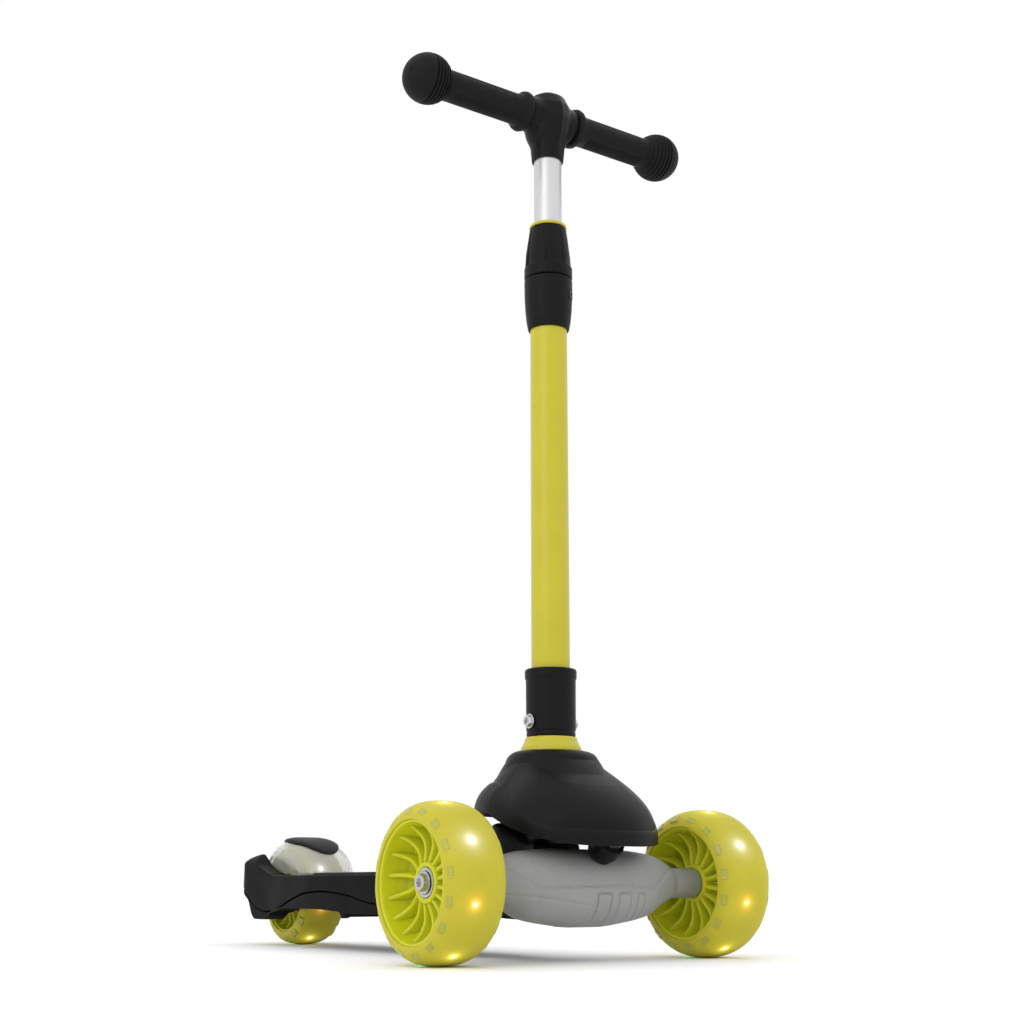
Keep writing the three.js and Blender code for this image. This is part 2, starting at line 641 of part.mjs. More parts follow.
// Adds one wheel whose middle is at (x, y); its outer side faces +Y for side 1 and -Y for side -1.
function addWheel(body, label, wheel, x, y, side) {
  const place = (geometry) => alongY(geometry, x, wheel.radius, side).translate(0, y, 0);
  addPiece(body, `tyre_${label}`, 'lime', place(turned(tyreProfile(wheel), WHEEL_FACETS)));
  addPiece(body, `wheel_core_${label}`, 'lime', place(wheelCore(wheel)));
  addPiece(body, `bearing_outer_${label}`, 'steel', place(bearing(wheel.hub - BEARING.width, wheel.hub)));
  addPiece(body, `bearing_inner_${label}`, 'steel', place(bearing(-wheel.hub, BEARING.width - wheel.hub)));
}

// The magnet that drives the wheel's lights, held still on the axle between the bearings.
function magnetCore(wheel, x, y) {
  const reach = wheel.hub - BEARING.width - 0.4;
  const core = sleeve(AXLE_R + AXLE_CLEAR, BEARING.radius - 1, -reach, reach, SMALL);
  return alongY(core, x, wheel.radius).translate(0, y, 0);
}

for (const [label, side] of [['left', 1], ['right', -1]]) {
  const middle = side * TRACK / 2;
  addWheel(`front_wheel_${label}`, `front_${label}`, FRONT, FRONT_X, middle, side);
  addPiece('truck', `magnet_core_${label}`, 'steel', magnetCore(FRONT, FRONT_X, middle));
  addPiece('truck', `axle_bolt_${label}`, 'steel', alongY(join(
    rod(AXLE_R, 84, TRACK / 2 + FRONT.hub + 0.6),
    rod(6.6, TRACK / 2 + FRONT.hub + 0.4, TRACK / 2 + FRONT.hub + 5.6, 6),
  ), FRONT_X, FRONT.radius, side));
}

addWheel('rear_wheel', 'rear', REAR, REAR_X, 0, 1);
addPiece('deck', 'magnet_core_rear', 'steel', magnetCore(REAR, REAR_X, 0));
addPiece('deck', 'rear_axle', 'steel', alongY(join(
  rod(AXLE_R, -AXLE_END.tip, AXLE_END.depth + 0.4),
  rod(AXLE_END.head, AXLE_END.depth + 0.2, AXLE_END.tip, 6),
), REAR_X, REAR.radius));
addPiece('deck', 'rear_axle_nut', 'steel', alongY(
  hexNut(AXLE_R + AXLE_CLEAR, AXLE_END.head, -AXLE_END.tip, -AXLE_END.depth - 0.4), REAR_X, REAR.radius,
));
addPiece('deck', 'axle_cap_left', 'black', axleCap(1));
addPiece('deck', 'axle_cap_right', 'black', axleCap(-1));
for (const [label, side] of [['left', 1], ['right', -1]]) {
  addPiece('deck', `rear_spacer_${label}`, 'steel', alongY(
    sleeve(AXLE_R + AXLE_CLEAR, 6.4, REAR.hub + 0.4, SLOT.half - 0.3, SMALL),
    REAR_X, REAR.radius, side,
  ));
}

// ---- Rear brake ---------------------------------------------------------------------------

// One arch of the fender at an angle round the axle, closed below by its foot line.
function fenderRing(angle, grow, foot) {
  const ring = [];
  const count = 10;
  const crown = BRAKE.inner + grow;
  const reach = BRAKE.half - BRAKE.wall + grow;
  const place = (r, y) => [REAR_X + r * Math.cos(angle), y, REAR.radius + r * Math.sin(angle)];
  for (let i = 0; i <= count; i++) {
    const across = (i / count) * Math.PI;
    const y = reach * Math.sign(Math.cos(across)) * Math.pow(Math.abs(Math.cos(across)), 0.55);
    ring.push(place(crown - 15 * (1 - Math.pow(Math.sin(across), 0.7)), y));
  }
  ring.push(place(crown - 15 - foot, -reach), place(crown - 15 - foot, reach));
  return ring;
}

function fenderArch(from, to, grow, foot) {
  const rings = [];
  const steps = 8;
  for (let step = 0; step <= steps; step++) {
    const angle = THREE.MathUtils.degToRad(THREE.MathUtils.lerp(from, to, step / steps));
    rings.push(fenderRing(angle, grow, foot));
  }
  return loft(rings);
}

// The lip that lies over the deck in front of the slot, rounded in plan.
function fenderLip() {
  const half = [];
  const steps = 8;
  const start = REAR_X + 44;
  for (let step = 0; step <= steps; step++) {
    const angle = (step / steps) * Math.PI / 2;
    half.push([start + (BRAKE.lip - start) * Math.cos(angle), BRAKE.half * Math.pow(Math.sin(angle), 0.8)]);
  }
  return slab(mirrored(half), DECK.top + 0.5, DECK.top + 0.5 + BRAKE.wall);
}

function fender() {
  const shell = cut(fenderArch(160, 22, BRAKE.wall, 1), fenderArch(166, 16, 0, 6));
  const tongue = rib([
    [BRAKE.pinX - 8, DECK.top + 1.5], [BRAKE.pinX + 1, DECK.top + 1.5], [BRAKE.pinX + 3, BRAKE.pinZ],
    [BRAKE.pinX, BRAKE.pinZ - 3], [BRAKE.pinX - 3, BRAKE.pinZ],
  ], 14);
  const knuckle = alongY(rod(3.3, -14, 14), BRAKE.pinX, BRAKE.pinZ);
  return cut(
    join(shell, fenderLip(), tongue, knuckle),
    alongY(rod(BRAKE.pin + RUNNING, -40, 40, 12), BRAKE.pinX, BRAKE.pinZ),
    alongY(rod(REAR.radius + 1.5, -21, 21, WHEEL_FACETS), REAR_X, REAR.radius),
  );
}

// The black foot panel on top of the fender, a leaf-shaped patch of a slightly larger arch.
function fenderPad() {
  const patch = cut(fenderArch(160, 22, BRAKE.wall + 2.1, 1), fenderArch(160, 22, BRAKE.wall + GAP, 6));
  const leaf = [];
  const count = 20;
  for (let i = 0; i < count; i++) {
    const angle = (i / count) * 2 * Math.PI;
    leaf.push([REAR_X + 6 + 38 * Math.cos(angle), 17.5 * Math.sin(angle)]);
  }
  return common(patch, slab(leaf, REAR.radius + 20, REAR.radius + 70));
}

addPiece('brake', 'fender', 'clear', fender());
addPiece('brake', 'fender_pad', 'black', fenderPad());
addPiece('deck', 'brake_pin', 'steel', alongY(rod(BRAKE.pin, -32, 32, 12), BRAKE.pinX, BRAKE.pinZ));

scooter.name = 'kick_scooter';
export default scooter;
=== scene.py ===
"""Looks of the kick scooter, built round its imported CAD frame.

Lengths below are in millimetres in the frame (+X forward, +Y the rider's left, +Z up) and are
turned into metres where a mesh is made. Places come from the boxes of the CAD nodes.
"""

import json
import math

import bmesh
import bpy
import numpy as np
from mathutils import Matrix, Vector

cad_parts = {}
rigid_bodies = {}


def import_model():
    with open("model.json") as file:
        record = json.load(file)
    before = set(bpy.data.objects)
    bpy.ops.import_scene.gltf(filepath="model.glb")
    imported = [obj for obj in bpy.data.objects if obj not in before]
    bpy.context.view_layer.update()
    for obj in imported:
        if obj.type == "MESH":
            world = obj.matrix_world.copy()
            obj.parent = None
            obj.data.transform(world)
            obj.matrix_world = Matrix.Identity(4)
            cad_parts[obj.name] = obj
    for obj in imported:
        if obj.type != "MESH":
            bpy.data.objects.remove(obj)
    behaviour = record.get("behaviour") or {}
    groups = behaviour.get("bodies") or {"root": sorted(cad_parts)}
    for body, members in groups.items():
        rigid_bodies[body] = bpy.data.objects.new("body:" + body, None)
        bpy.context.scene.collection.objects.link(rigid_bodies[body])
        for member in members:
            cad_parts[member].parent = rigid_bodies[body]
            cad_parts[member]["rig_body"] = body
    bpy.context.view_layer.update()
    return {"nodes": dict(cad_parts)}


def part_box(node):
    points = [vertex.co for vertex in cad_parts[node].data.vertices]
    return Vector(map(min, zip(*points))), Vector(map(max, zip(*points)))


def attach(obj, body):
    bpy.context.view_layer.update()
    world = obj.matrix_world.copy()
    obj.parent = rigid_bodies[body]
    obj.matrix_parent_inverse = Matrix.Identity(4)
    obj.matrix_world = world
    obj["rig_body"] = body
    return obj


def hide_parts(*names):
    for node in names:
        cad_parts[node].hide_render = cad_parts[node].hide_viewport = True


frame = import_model()
MM = 0.001


def box(node):
    """Lowest corner, highest corner and middle of a CAD node, in millimetres."""
    low, high = (np.array(c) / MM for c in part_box(node))
    return low, high, (low + high) / 2


# ---- Places taken from the frame -----------------------------------------------------------

TYRE_LOW, TYRE_HIGH, TYRE_MID = box("tyre_front_left")
FRONT_X = TYRE_MID[0]
FRONT_R = TYRE_MID[2]
TRACK_Y = TYRE_MID[1]
FRONT_HALF = (TYRE_HIGH[1] - TYRE_LOW[1]) / 2
REAR_LOW, REAR_HIGH, REAR_MID = box("tyre_rear")
REAR_X = REAR_MID[0]
REAR_R = REAR_MID[2]
REAR_HALF = (REAR_HIGH[1] - REAR_LOW[1]) / 2
STEM_X = box("stem_tube")[2][0]
STEM_R = 16.25
HUB_HALF = 12.5
BEARING_R = 11.0
DECK_LOW, DECK_HIGH, _ = box("deck_shell")
TAIL_X = DECK_LOW[0]
DECK_FRONT = DECK_HIGH[0]
DECK_TOP = 68.0
DECK_BOTTOM = box("deck_cover")[0][2] + 8.0
HOOD_X = STEM_X + 18.3
HOOD_LONG = 77.0
HOOD_WIDE = 73.0
BAR_Z = box("cross_bar")[2][2]
BALL_Y = 129.4
BALL_R = 22.3
SHAFT_R = 13.8


# ---- Mesh helpers --------------------------------------------------------------------------


def piece(name, parts, body, material, replaces=(), sharp=35, modifiers=()):
    """One object from (points, faces) parts in millimetres, riding on a body."""
    points, faces = [], []
    for part_points, part_faces in parts:
        start = sum(len(p) for p in points)
        points.append(np.asarray(part_points, float))
        faces.extend([[start + i for i in face] for face in part_faces])
    mesh = bpy.data.meshes.new(name)
    mesh.from_pydata((np.vstack(points) * MM).tolist(), [], faces)
    mesh.validate()
    bm = bmesh.new()
    bm.from_mesh(mesh)
    bmesh.ops.remove_doubles(bm, verts=bm.verts, dist=2e-6)
    bmesh.ops.dissolve_degenerate(bm, edges=bm.edges, dist=1e-6)
    bmesh.ops.recalc_face_normals(bm, faces=bm.faces)
    bm.to_mesh(mesh)
    bm.free()
    mesh.shade_smooth()
    mesh.set_sharp_from_angle(angle=math.radians(sharp))
    obj = bpy.data.objects.new(name, mesh)
    bpy.context.scene.collection.objects.link(obj)
    for kind, settings in modifiers:
        modifier = obj.modifiers.new(kind.title(), kind)
        for key, value in settings.items():
            setattr(modifier, key, value)
    mesh.materials.append(material)
    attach(obj, body)
    if replaces:
        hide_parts(*replaces)
    return obj


def softened(node, name, material, voxel, smooth, shape):
    """A moulded look for a CAD node: its form remeshed and relaxed, so that every edge is rounded."""
    source = frame["nodes"][node]
    mesh = source.data.copy()
    mesh.materials.clear()
    obj = bpy.data.objects.new(name, mesh)
    bpy.context.scene.collection.objects.link(obj)
    remesh = obj.modifiers.new("Remesh", "REMESH")
    remesh.mode = "VOXEL"
    remesh.voxel_size = voxel * MM
    relax = obj.modifiers.new("Smooth", "SMOOTH")
    relax.factor = 0.5
    relax.iterations = smooth
    fewer = obj.modifiers.new("Decimate", "DECIMATE")
    fewer.ratio = 0.5
    graph = bpy.context.evaluated_depsgraph_get()
    final = bpy.data.meshes.new_from_object(obj.evaluated_get(graph))
    obj.modifiers.clear()
    obj.data = final
    final.name = name
    points = np.array([v.co for v in final.vertices]) / MM
    final.vertices.foreach_set("co", (shape(points) * MM).ravel())
    final.update()
    final.materials.clear()
    final.materials.append(material)
    final.shade_smooth()
    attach(obj, source["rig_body"])
    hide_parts(node)
    return obj


def smooth_run(points, x):
    """A smooth curve through (x, y) points that never swings past them, read at x; flat beyond its ends."""
    xs, ys = (np.array(c, float) for c in zip(*points))
    rise = np.diff(ys) / np.diff(xs)
    before, after = rise[:-1], rise[1:]
    same_way = before * after > 0
    total = np.where(same_way, before + after, 1)
    slope = np.concatenate([rise[:1], np.where(same_way, 2 * before * after / total, 0), rise[-1:]])
    x = np.clip(x, xs[0], xs[-1])
    i = np.clip(np.searchsorted(xs, x, side="right") - 1, 0, len(xs) - 2)
    h = xs[i + 1] - xs[i]
    t = (x - xs[i]) / h
    a = (1 + 2 * t) * (1 - t) ** 2 * ys[i] + t * (1 - t) ** 2 * h * slope[i]
    return a + t * t * (3 - 2 * t) * ys[i + 1] + t * t * (t - 1) * h * slope[i + 1]


def step(low, high, x):
    """0 below low, 1 above high, smooth between."""
    t = np.clip((x - low) / (high - low), 0, 1)
    return t * t * (3 - 2 * t)


def hump(x, middle, half, soft):
    """1 within half of middle, falling to 0 over soft."""
    return 1 - step(half, half + soft, np.abs(x - middle))


def bored(obj, holes):
    """Cuts round holes out of a piece; a hole is (foot, head, radius) with its ends in millimetres."""
    tools = []
    for foot, head, radius in holes:
        foot, head = Vector(foot) * MM, Vector(head) * MM
        bm = bmesh.new()
        bmesh.ops.create_cone(bm, cap_ends=True, segments=64, radius1=radius * MM, radius2=radius * MM,
                              depth=(head - foot).length)
        turn = (head - foot).to_track_quat("Z", "Y").to_matrix().to_4x4()
        bmesh.ops.transform(bm, matrix=Matrix.Translation((foot + head) / 2) @ turn, verts=bm.verts)
        mesh = bpy.data.meshes.new("hole")
        bm.to_mesh(mesh)
        bm.free()
        tool = bpy.data.objects.new("hole", mesh)
        bpy.context.scene.collection.objects.link(tool)
        modifier = obj.modifiers.new("Bore", "BOOLEAN")
        modifier.operation = "DIFFERENCE"
        modifier.solver = "EXACT"
        modifier.object = tool
        tools.append(tool)
    final = bpy.data.meshes.new_from_object(obj.evaluated_get(bpy.context.evaluated_depsgraph_get()))
    obj.modifiers.clear()
    obj.data = final
    final.set_sharp_from_angle(angle=math.radians(35))
    for tool in tools:
        bpy.data.objects.remove(tool)


def filleted(profile, radius=0.6, steps=3):
    """A closed profile with each corner rounded."""
    points = [np.array(p, float) for p in profile]
    count = len(points)
    out = []
    for i, here in enumerate(points):
        before, after = points[i - 1], points[(i + 1) % count]
        to_before, to_after = before - here, after - here
        near, far = np.linalg.norm(to_before), np.linalg.norm(to_after)
        if near < 1e-6 or far < 1e-6:
            continue
        bend = np.dot(to_before, to_after) / (near * far)
        cut = min(radius, near * 0.45, far * 0.45)
        if bend < -0.995 or (abs(here[0]) < 1e-6):
            out.append(here)
            continue
        start, end = here + to_before / near * cut, here + to_after / far * cut
        for k in range(steps + 1):
            t = k / steps
            out.append((1 - t) ** 2 * start + 2 * t * (1 - t) * here + t * t * end)
    return np.array(out)


def split(profile, longest):
    """A closed profile with its long stretches cut into short ones."""
    out = []
    count = len(profile)
    for i in range(count):
        a, b = profile[i], profile[(i + 1) % count]
        pieces = max(1, int(math.ceil(np.linalg.norm(b - a) / longest)))
        out.extend(a + (b - a) * k / pieces for k in range(pieces))
    return np.array(out)


def grid(points, closed_u=True, closed_v=False):
    """Points [v][u] to a skin."""
    points = np.asarray(points, float)
    nv, nu = points.shape[:2]
    faces = []
    for v in range(nv if closed_v else nv - 1):
        w = (v + 1) % nv
        for u in range(nu if closed_u else nu - 1):
            x = (u + 1) % nu
            faces.append((v * nu + u, v * nu + x, w * nu + x, w * nu + u))
    return points.reshape(-1, 3), faces


def capped(points):
    """Closed rings [v][u] to a skin with a fan at both ends."""
    points = np.asarray(points, float)
    flat, faces = grid(points)
    nv, nu = points.shape[:2]
    flat = np.vstack([flat, points[0].mean(0), points[-1].mean(0)])
    for u in range(nu):
        x = (u + 1) % nu
        faces.append((u, x, nv * nu))
        faces.append(((nv - 1) * nu + x, (nv - 1) * nu + u, nv * nu + 1))
    return flat, faces


def lathe(profile, count=96, shape=None):
    """A closed (radius, height) profile turned round Z. shape(radius, height, angle) gives a new radius."""
    profile = np.asarray(profile, float)
    angle = np.arange(count) / count * 2 * math.pi
    r = np.repeat(profile[:, :1], count, 1)
    z = np.repeat(profile[:, 1:], count, 1)
    a = np.repeat(angle[None], len(profile), 0)
    if shape:
        r = shape(r, z, a)
    return grid(np.stack([r * np.cos(a), r * np.sin(a), z], -1), closed_v=True)


def moved(part, x=0, y=0, z=0):
    """A part shifted."""
    return part[0] + np.array([x, y, z]), part[1]


def along_y(part, x, z, y=0, side=1):
    """A part made round Z laid along Y, its +Z end towards side."""
    p = part[0]
    out = np.stack([p[:, 0] + x, p[:, 2] * side + y, p[:, 1] + z], -1)
    return out, part[1]


def around_stem(part):
    """A part made round Z, put on the stem's axis."""
    return moved(part, x=STEM_X)


def six_sides(angle):
    """How far a hexagon's side is from its middle at an angle, as a share of its corner's distance."""
    return math.cos(math.pi / 6) / np.cos((angle % (math.pi / 3)) - math.pi / 6)


def hexed(corner, start):
    """A lathe shape that cuts everything wider than start down to a hexagon."""
    return lambda r, z, a: np.where(r > start, np.minimum(r, corner * six_sides(a)), r)


def screw_head(radius, height, depth, recess, across, shank):
    """A head round Z with its top at height, rounded at the rim, with a hex socket or a cross in it."""
    count = 72
    rings = [(radius * s, height) for s in (0, 0.1, 0.2, 0.3, 0.4, 0.48, 0.54, 0.6, 0.68, 0.8, 0.9)]
    rings += [(radius * 0.97, height - 0.12 * radius), (radius, height - 0.3 * radius)]
    rings += [(radius, 0.0), (shank, 0.0), (shank, -depth), (0, -depth)]
    angle = np.arange(count) / count * 2 * math.pi
    out = []
    for r, z in rings:
        edge = radius * across
        if recess == "hex":
            edge = edge * six_sides(angle)
            inside = np.clip((edge - r) / (0.08 * radius), 0, 1)
        else:
            arm = np.minimum(np.abs(np.sin(angle)), np.abs(np.cos(angle))) * r
            inside = np.clip((0.13 * radius - arm) / (0.07 * radius), 0, 1)
            inside = inside * np.clip((edge * 1.1 - r) / (0.1 * radius), 0, 1)
        fall = inside * 0.45 * radius if z > 0.5 * height else 0 * inside
        out.append(np.stack([r * np.cos(angle), r * np.sin(angle), z - fall], -1))
    return grid(out)


# ---- Materials -----------------------------------------------------------------------------


class Nodes:
    """A short way to write a node tree."""

    def __init__(self, name):
        self.material = bpy.data.materials.new(name)
        self.material.use_nodes = True
        self.tree = self.material.node_tree
        self.shader = self.tree.nodes["Principled BSDF"]

    def math(self, operation, a, b=None, clamp=False):
        node = self.tree.nodes.new("ShaderNodeMath")
        node.operation = operation
        node.use_clamp = clamp
        for socket, value in zip(node.inputs, (a, b)):
            if value is None:
                continue
            if isinstance(value, (int, float)):
                socket.default_value = value
            else:
                self.tree.links.new(value, socket)
        return node.outputs[0]

    def link(self, a, b):
        self.tree.links.new(a, b)

    def place(self):
        if not hasattr(self, "_place"):
            self._place = self.tree.nodes.new("ShaderNodeTexCoord").outputs["Object"]
        return self._place

    def noise(self, scale, detail=3, rough=0.5, stretch=None):
        node = self.tree.nodes.new("ShaderNodeTexNoise")
        node.inputs["Scale"].default_value = scale
        node.inputs["Detail"].default_value = detail
        node.inputs["Roughness"].default_value = rough
        source = self.place()
        if stretch:
            mapping = self.tree.nodes.new("ShaderNodeMapping")
            mapping.inputs["Scale"].default_value = stretch
            self.link(source, mapping.inputs["Vector"])
            source = mapping.outputs[0]
        self.link(source, node.inputs["Vector"])
        return node.outputs["Fac"]

    def ramp(self, source, *stops, constant=False):
        node = self.tree.nodes.new("ShaderNodeValToRGB")
        ramp = node.color_ramp
        if constant:
            ramp.interpolation = "CONSTANT"
        while len(ramp.elements) < len(stops):
            ramp.elements.new(0.5)
        for element, (position, colour) in zip(ramp.elements, stops):
            element.position = position
            element.color = colour if len(colour) == 4 else (*colour, 1)
        self.link(source, node.inputs[0])
        return node.outputs[0]

    def mix(self, factor, a, b, blend="MIX"):
        node = self.tree.nodes.new("ShaderNodeMix")
        node.data_type = "RGBA"
        node.blend_type = blend
        for socket, value in ((node.inputs[0], factor), (node.inputs[6], a), (node.inputs[7], b)):
            if isinstance(value, (int, float)):
                socket.default_value = value
            elif isinstance(value, tuple):
                socket.default_value = (*value, 1)
            else:
                self.link(value, socket)
        return node.outputs[2]

    def map(self, source, low, high, new_low, new_high):
        node = self.tree.nodes.new("ShaderNodeMapRange")
        for i, value in zip((1, 2, 3, 4), (low, high, new_low, new_high)):
            node.inputs[i].default_value = value
        self.link(source, node.inputs[0])
        return node.outputs[0]

    def bump(self, height, distance, strength=1.0, after=None):
        node = self.tree.nodes.new("ShaderNodeBump")
        node.inputs["Strength"].default_value = strength
        node.inputs["Distance"].default_value = distance * MM
        self.link(height, node.inputs["Height"])
        if after is not None:
            self.link(after, node.inputs["Normal"])
        return node.outputs[0]

    def set(self, **values):
        for key, value in values.items():
            socket = self.shader.inputs[key.replace("_", " ")]
            if isinstance(value, tuple) and len(socket.default_value) == 4:
                socket.default_value = (*value, 1)
            elif isinstance(value, (int, float, tuple)):
                socket.default_value = value
            else:
                self.link(value, socket)


def tinted(colour, share):
    """A colour made lighter or darker."""
    return tuple(c * share for c in colour)


def moulded(name, colour, rough, grain=0.02, grain_size=1500, worn=None, metal=0.0, depth=0.12, **more):
    """Moulded, painted or cast stuff: fine grain, cloudy colour and gloss, and paler rubbed edges."""
    n = Nodes(name)
    cloud = n.noise(28, 4, 0.55)
    fine = n.noise(grain_size, 2, 0.6)
    scuff = n.noise(260, 5, 0.7, (1, 1, 0.25))
    base = n.mix(n.map(cloud, 0.3, 0.7, 0, 1), tinted(colour, 1 - depth), tinted(colour, 1 + depth))
    if worn:
        edge = n.tree.nodes.new("ShaderNodeNewGeometry").outputs["Pointiness"]
        rubbed = n.math("MULTIPLY", n.map(edge, 0.52, 0.6, 0, 0.6), n.map(scuff, 0.42, 0.62, 0, 1))
        base = n.mix(rubbed, base, worn)
    n.set(
        Base_Color=base,
        Roughness=n.math("ADD", n.map(cloud, 0.25, 0.75, rough - 0.06, rough + 0.06),
                         n.map(scuff, 0.5, 0.75, 0, 0.07)),
        Normal=n.bump(fine, grain, 1.0, n.bump(cloud, 0.05, 0.3)),
        Metallic=metal,
        **more,
    )
    return n.material


LIME = (0.495, 0.445, 0.034)
BLACK = moulded("black_plastic", (0.0055, 0.0055, 0.0057), 0.46, 0.035, 1700, worn=(0.022, 0.022, 0.022),
               Specular_IOR_Level=0.12)
BLACK_FINE = moulded("black_plastic_fine", (0.0045, 0.0045, 0.0047), 0.42, 0.02, 2400,
                    worn=(0.02, 0.02, 0.02), Specular_IOR_Level=0.13)
BLACK_SOFT = moulded("grip_rubber", (0.0055, 0.0055, 0.006), 0.58, 0.05, 1900, worn=(0.015, 0.015, 0.015),
                    Specular_IOR_Level=0.14)
# The deck's black plastic is a copy of black_plastic. Its lower specular makes the surface duller. Its darker
# base and worn colours are painted shade for the deck's sides.
DECK_BLACK_PAINTED_SHADE = moulded("deck_plastic_painted_shade", (0.003, 0.003, 0.0031), 0.5, 0.03, 1700, worn=(0.012, 0.012, 0.012),
                     Specular_IOR_Level=0.05)
GREY = moulded("grey_plastic", (0.27, 0.27, 0.268), 0.5, 0.03, 1800, worn=(0.34, 0.34, 0.34), depth=0.05)
PAINT = moulded("lime_paint", (0.475, 0.42, 0.014), 0.42, 0.012, 900, worn=(0.56, 0.53, 0.12), depth=0.04,
                Specular_IOR_Level=0.3, Coat_Weight=0.3, Coat_Roughness=0.14)
ALUMINIUM = moulded("bright_tube", (0.62, 0.62, 0.625), 0.42, 0.004, 1500, metal=1.0, depth=0.02)
STEEL = moulded("zinc_steel", (0.52, 0.52, 0.53), 0.3, 0.01, 900, worn=(0.75, 0.75, 0.75), metal=1.0)
BLACK_STEEL = moulded("black_steel", (0.03, 0.03, 0.032), 0.35, 0.01, 900, metal=0.6)
CORE = moulded("lime_core", (0.54, 0.555, 0.010), 0.33, 0.015, 700, worn=(0.50, 0.52, 0.05), depth=0.07,
               Specular_IOR_Level=0.35, Subsurface_Weight=0.25, Subsurface_Radius=(1.0, 0.9, 0.12),
               Subsurface_Scale=0.006)
WINDOW = moulded("lime_window", (0.36, 0.36, 0.03), 0.25, 0.01, 700, depth=0.1, Coat_Weight=0.3)

LAMP_START = -37.5  # degrees at which the first lamp's sector starts
LAMP_COLOURS = [
    (1.0, 0.42, 0.06), (0.95, 0.95, 1.0), (1.0, 0.85, 0.1), (0.12, 0.9, 0.2),
    (0.18, 0.22, 1.0), (1.0, 0.12, 0.10), (0.12, 0.9, 0.2), (1.0, 0.85, 0.1),
]
LAMPS = len(LAMP_COLOURS)
LAMP_SIDE = -6.0  # lamps sit a little off the middle of the tread


def lamp_ramp(n, x, z):
    """Round a wheel at (x, z): the place's coordinates, its share of a turn and its lamp's colour."""
    parts = n.tree.nodes.new("ShaderNodeSeparateXYZ")
    n.link(n.place(), parts.inputs[0])
    dx = n.math("SUBTRACT", parts.outputs[0], x * MM)
    dz = n.math("SUBTRACT", parts.outputs[2], z * MM)
    turn = n.math("DIVIDE", n.math("ARCTAN2", dz, dx), 2 * math.pi)
    share = n.math("FRACT", n.math("ADD", turn, 1 - LAMP_START / 360))
    colour = n.ramp(share, *[(i / LAMPS, c) for i, c in enumerate(LAMP_COLOURS)], constant=True)
    return parts, share, colour


def tyre_material(name, x, y, z, radius):
    """Translucent cast urethane that glows softly round each lamp inside it."""
    n = Nodes(name)
    parts, share, colour = lamp_ramp(n, x, z)
    within = n.math("SUBTRACT", n.math("FRACT", n.math("MULTIPLY", share, LAMPS)), 0.5)
    around = n.math("MULTIPLY", within, 2 * math.pi * radius / LAMPS)
    across = n.math("DIVIDE", n.math("SUBTRACT", parts.outputs[1], (y + LAMP_SIDE) * MM), MM)
    square = [n.math("MULTIPLY", side, side) for side in (around, across)]
    away = n.math("SQRT", n.math("ADD", *square))
    glow = n.math("EXPONENT", n.math("DIVIDE", away, -4.2))
    core = n.math("EXPONENT", n.math("DIVIDE", away, -1.2))
    cloud = n.noise(24, 4)
    fine = n.noise(700, 2)
    scuff = n.noise(180, 5, 0.7, (1, 0.3, 1))
    base = n.mix(n.map(cloud, 0.3, 0.7, 0, 1), tinted(LIME, 0.94), tinted(LIME, 1.04))
    base = n.mix(n.map(scuff, 0.55, 0.8, 0, 0.3), base, (0.58, 0.54, 0.09))
    light = n.mix(n.math("MULTIPLY", core, 0.5), colour, (1, 1, 1))
    n.set(
        Base_Color=base,
        Roughness=n.map(scuff, 0.3, 0.8, 0.5, 0.62), Specular_IOR_Level=0.18,
        Normal=n.bump(fine, 0.02, 1.0, n.bump(cloud, 0.12, 0.4)),
        Subsurface_Weight=0.4, Subsurface_Radius=(1.0, 0.9, 0.15), Subsurface_Scale=0.007,
        Emission_Color=light,
        Emission_Strength=n.math("ADD", glow, n.math("MULTIPLY", core, 4.0)),
    )
    return n.material


def lamp_material(name, x, z):
    """A small lit bead in its lamp's colour, paler than the glow round it."""
    n = Nodes(name)
    colour = lamp_ramp(n, x, z)[2]
    spark = n.noise(900, 2)
    n.set(Base_Color=(0.9, 0.9, 0.9), Roughness=0.2, Emission_Color=n.mix(0.35, colour, (1, 1, 1)),
          Emission_Strength=n.map(spark, 0, 1, 3.5, 5.0))
    return n.material


def clear_material():
    """Clear moulded plastic, a little hazy, with fine scratches."""
    n = Nodes("clear_plastic")
    cloud = n.noise(40, 4)
    scratch = n.noise(420, 4, 0.7, (0.2, 1, 1))
    n.set(
        Base_Color=n.mix(n.map(cloud, 0.3, 0.7, 0, 1), (0.93, 0.94, 0.90), (0.98, 0.98, 0.96)),
        Roughness=n.map(scratch, 0.4, 0.8, 0.08, 0.3),
        Normal=n.bump(scratch, 0.01, 0.6),
        Transmission_Weight=0.82, IOR=1.46, Coat_Weight=0.3,
    )
    return n.material


def mat_material():
    """Grip mat rubber, with cloudy dusty patches."""
    n = Nodes("grip_mat")
    cloud = n.noise(35, 5)
    fine = n.noise(1400, 3)
    n.set(
        Base_Color=n.mix(n.map(cloud, 0.35, 0.75, 0, 1), (0.012, 0.012, 0.013), (0.035, 0.034, 0.032)),
        Roughness=n.map(cloud, 0.3, 0.7, 0.72, 0.9),
        Normal=n.bump(fine, 0.06, 1.0),
    )
    return n.material


CLEAR = clear_material()
MAT = mat_material()


# ---- Wheels --------------------------------------------------------------------------------

TREAD_POWER = 2.6
SPOKES = 16
WINDOWS = 16
WEB = 1.6  # half the thickness of the disc between the ribs


def tread(radius, half, crown, side, count=36):
    """The tyre's outside from lip to lip, as (radius, offset)."""
    limit = (1 - (1 - (radius - side) / crown) ** TREAD_POWER) ** (1 / TREAD_POWER)
    share = np.sin((np.arange(count + 1) / count - 0.5) * math.pi) * limit
    fall = 1 - (1 - np.abs(share) ** TREAD_POWER) ** (1 / TREAD_POWER)
    return np.stack([radius - crown * fall, share * half], -1)


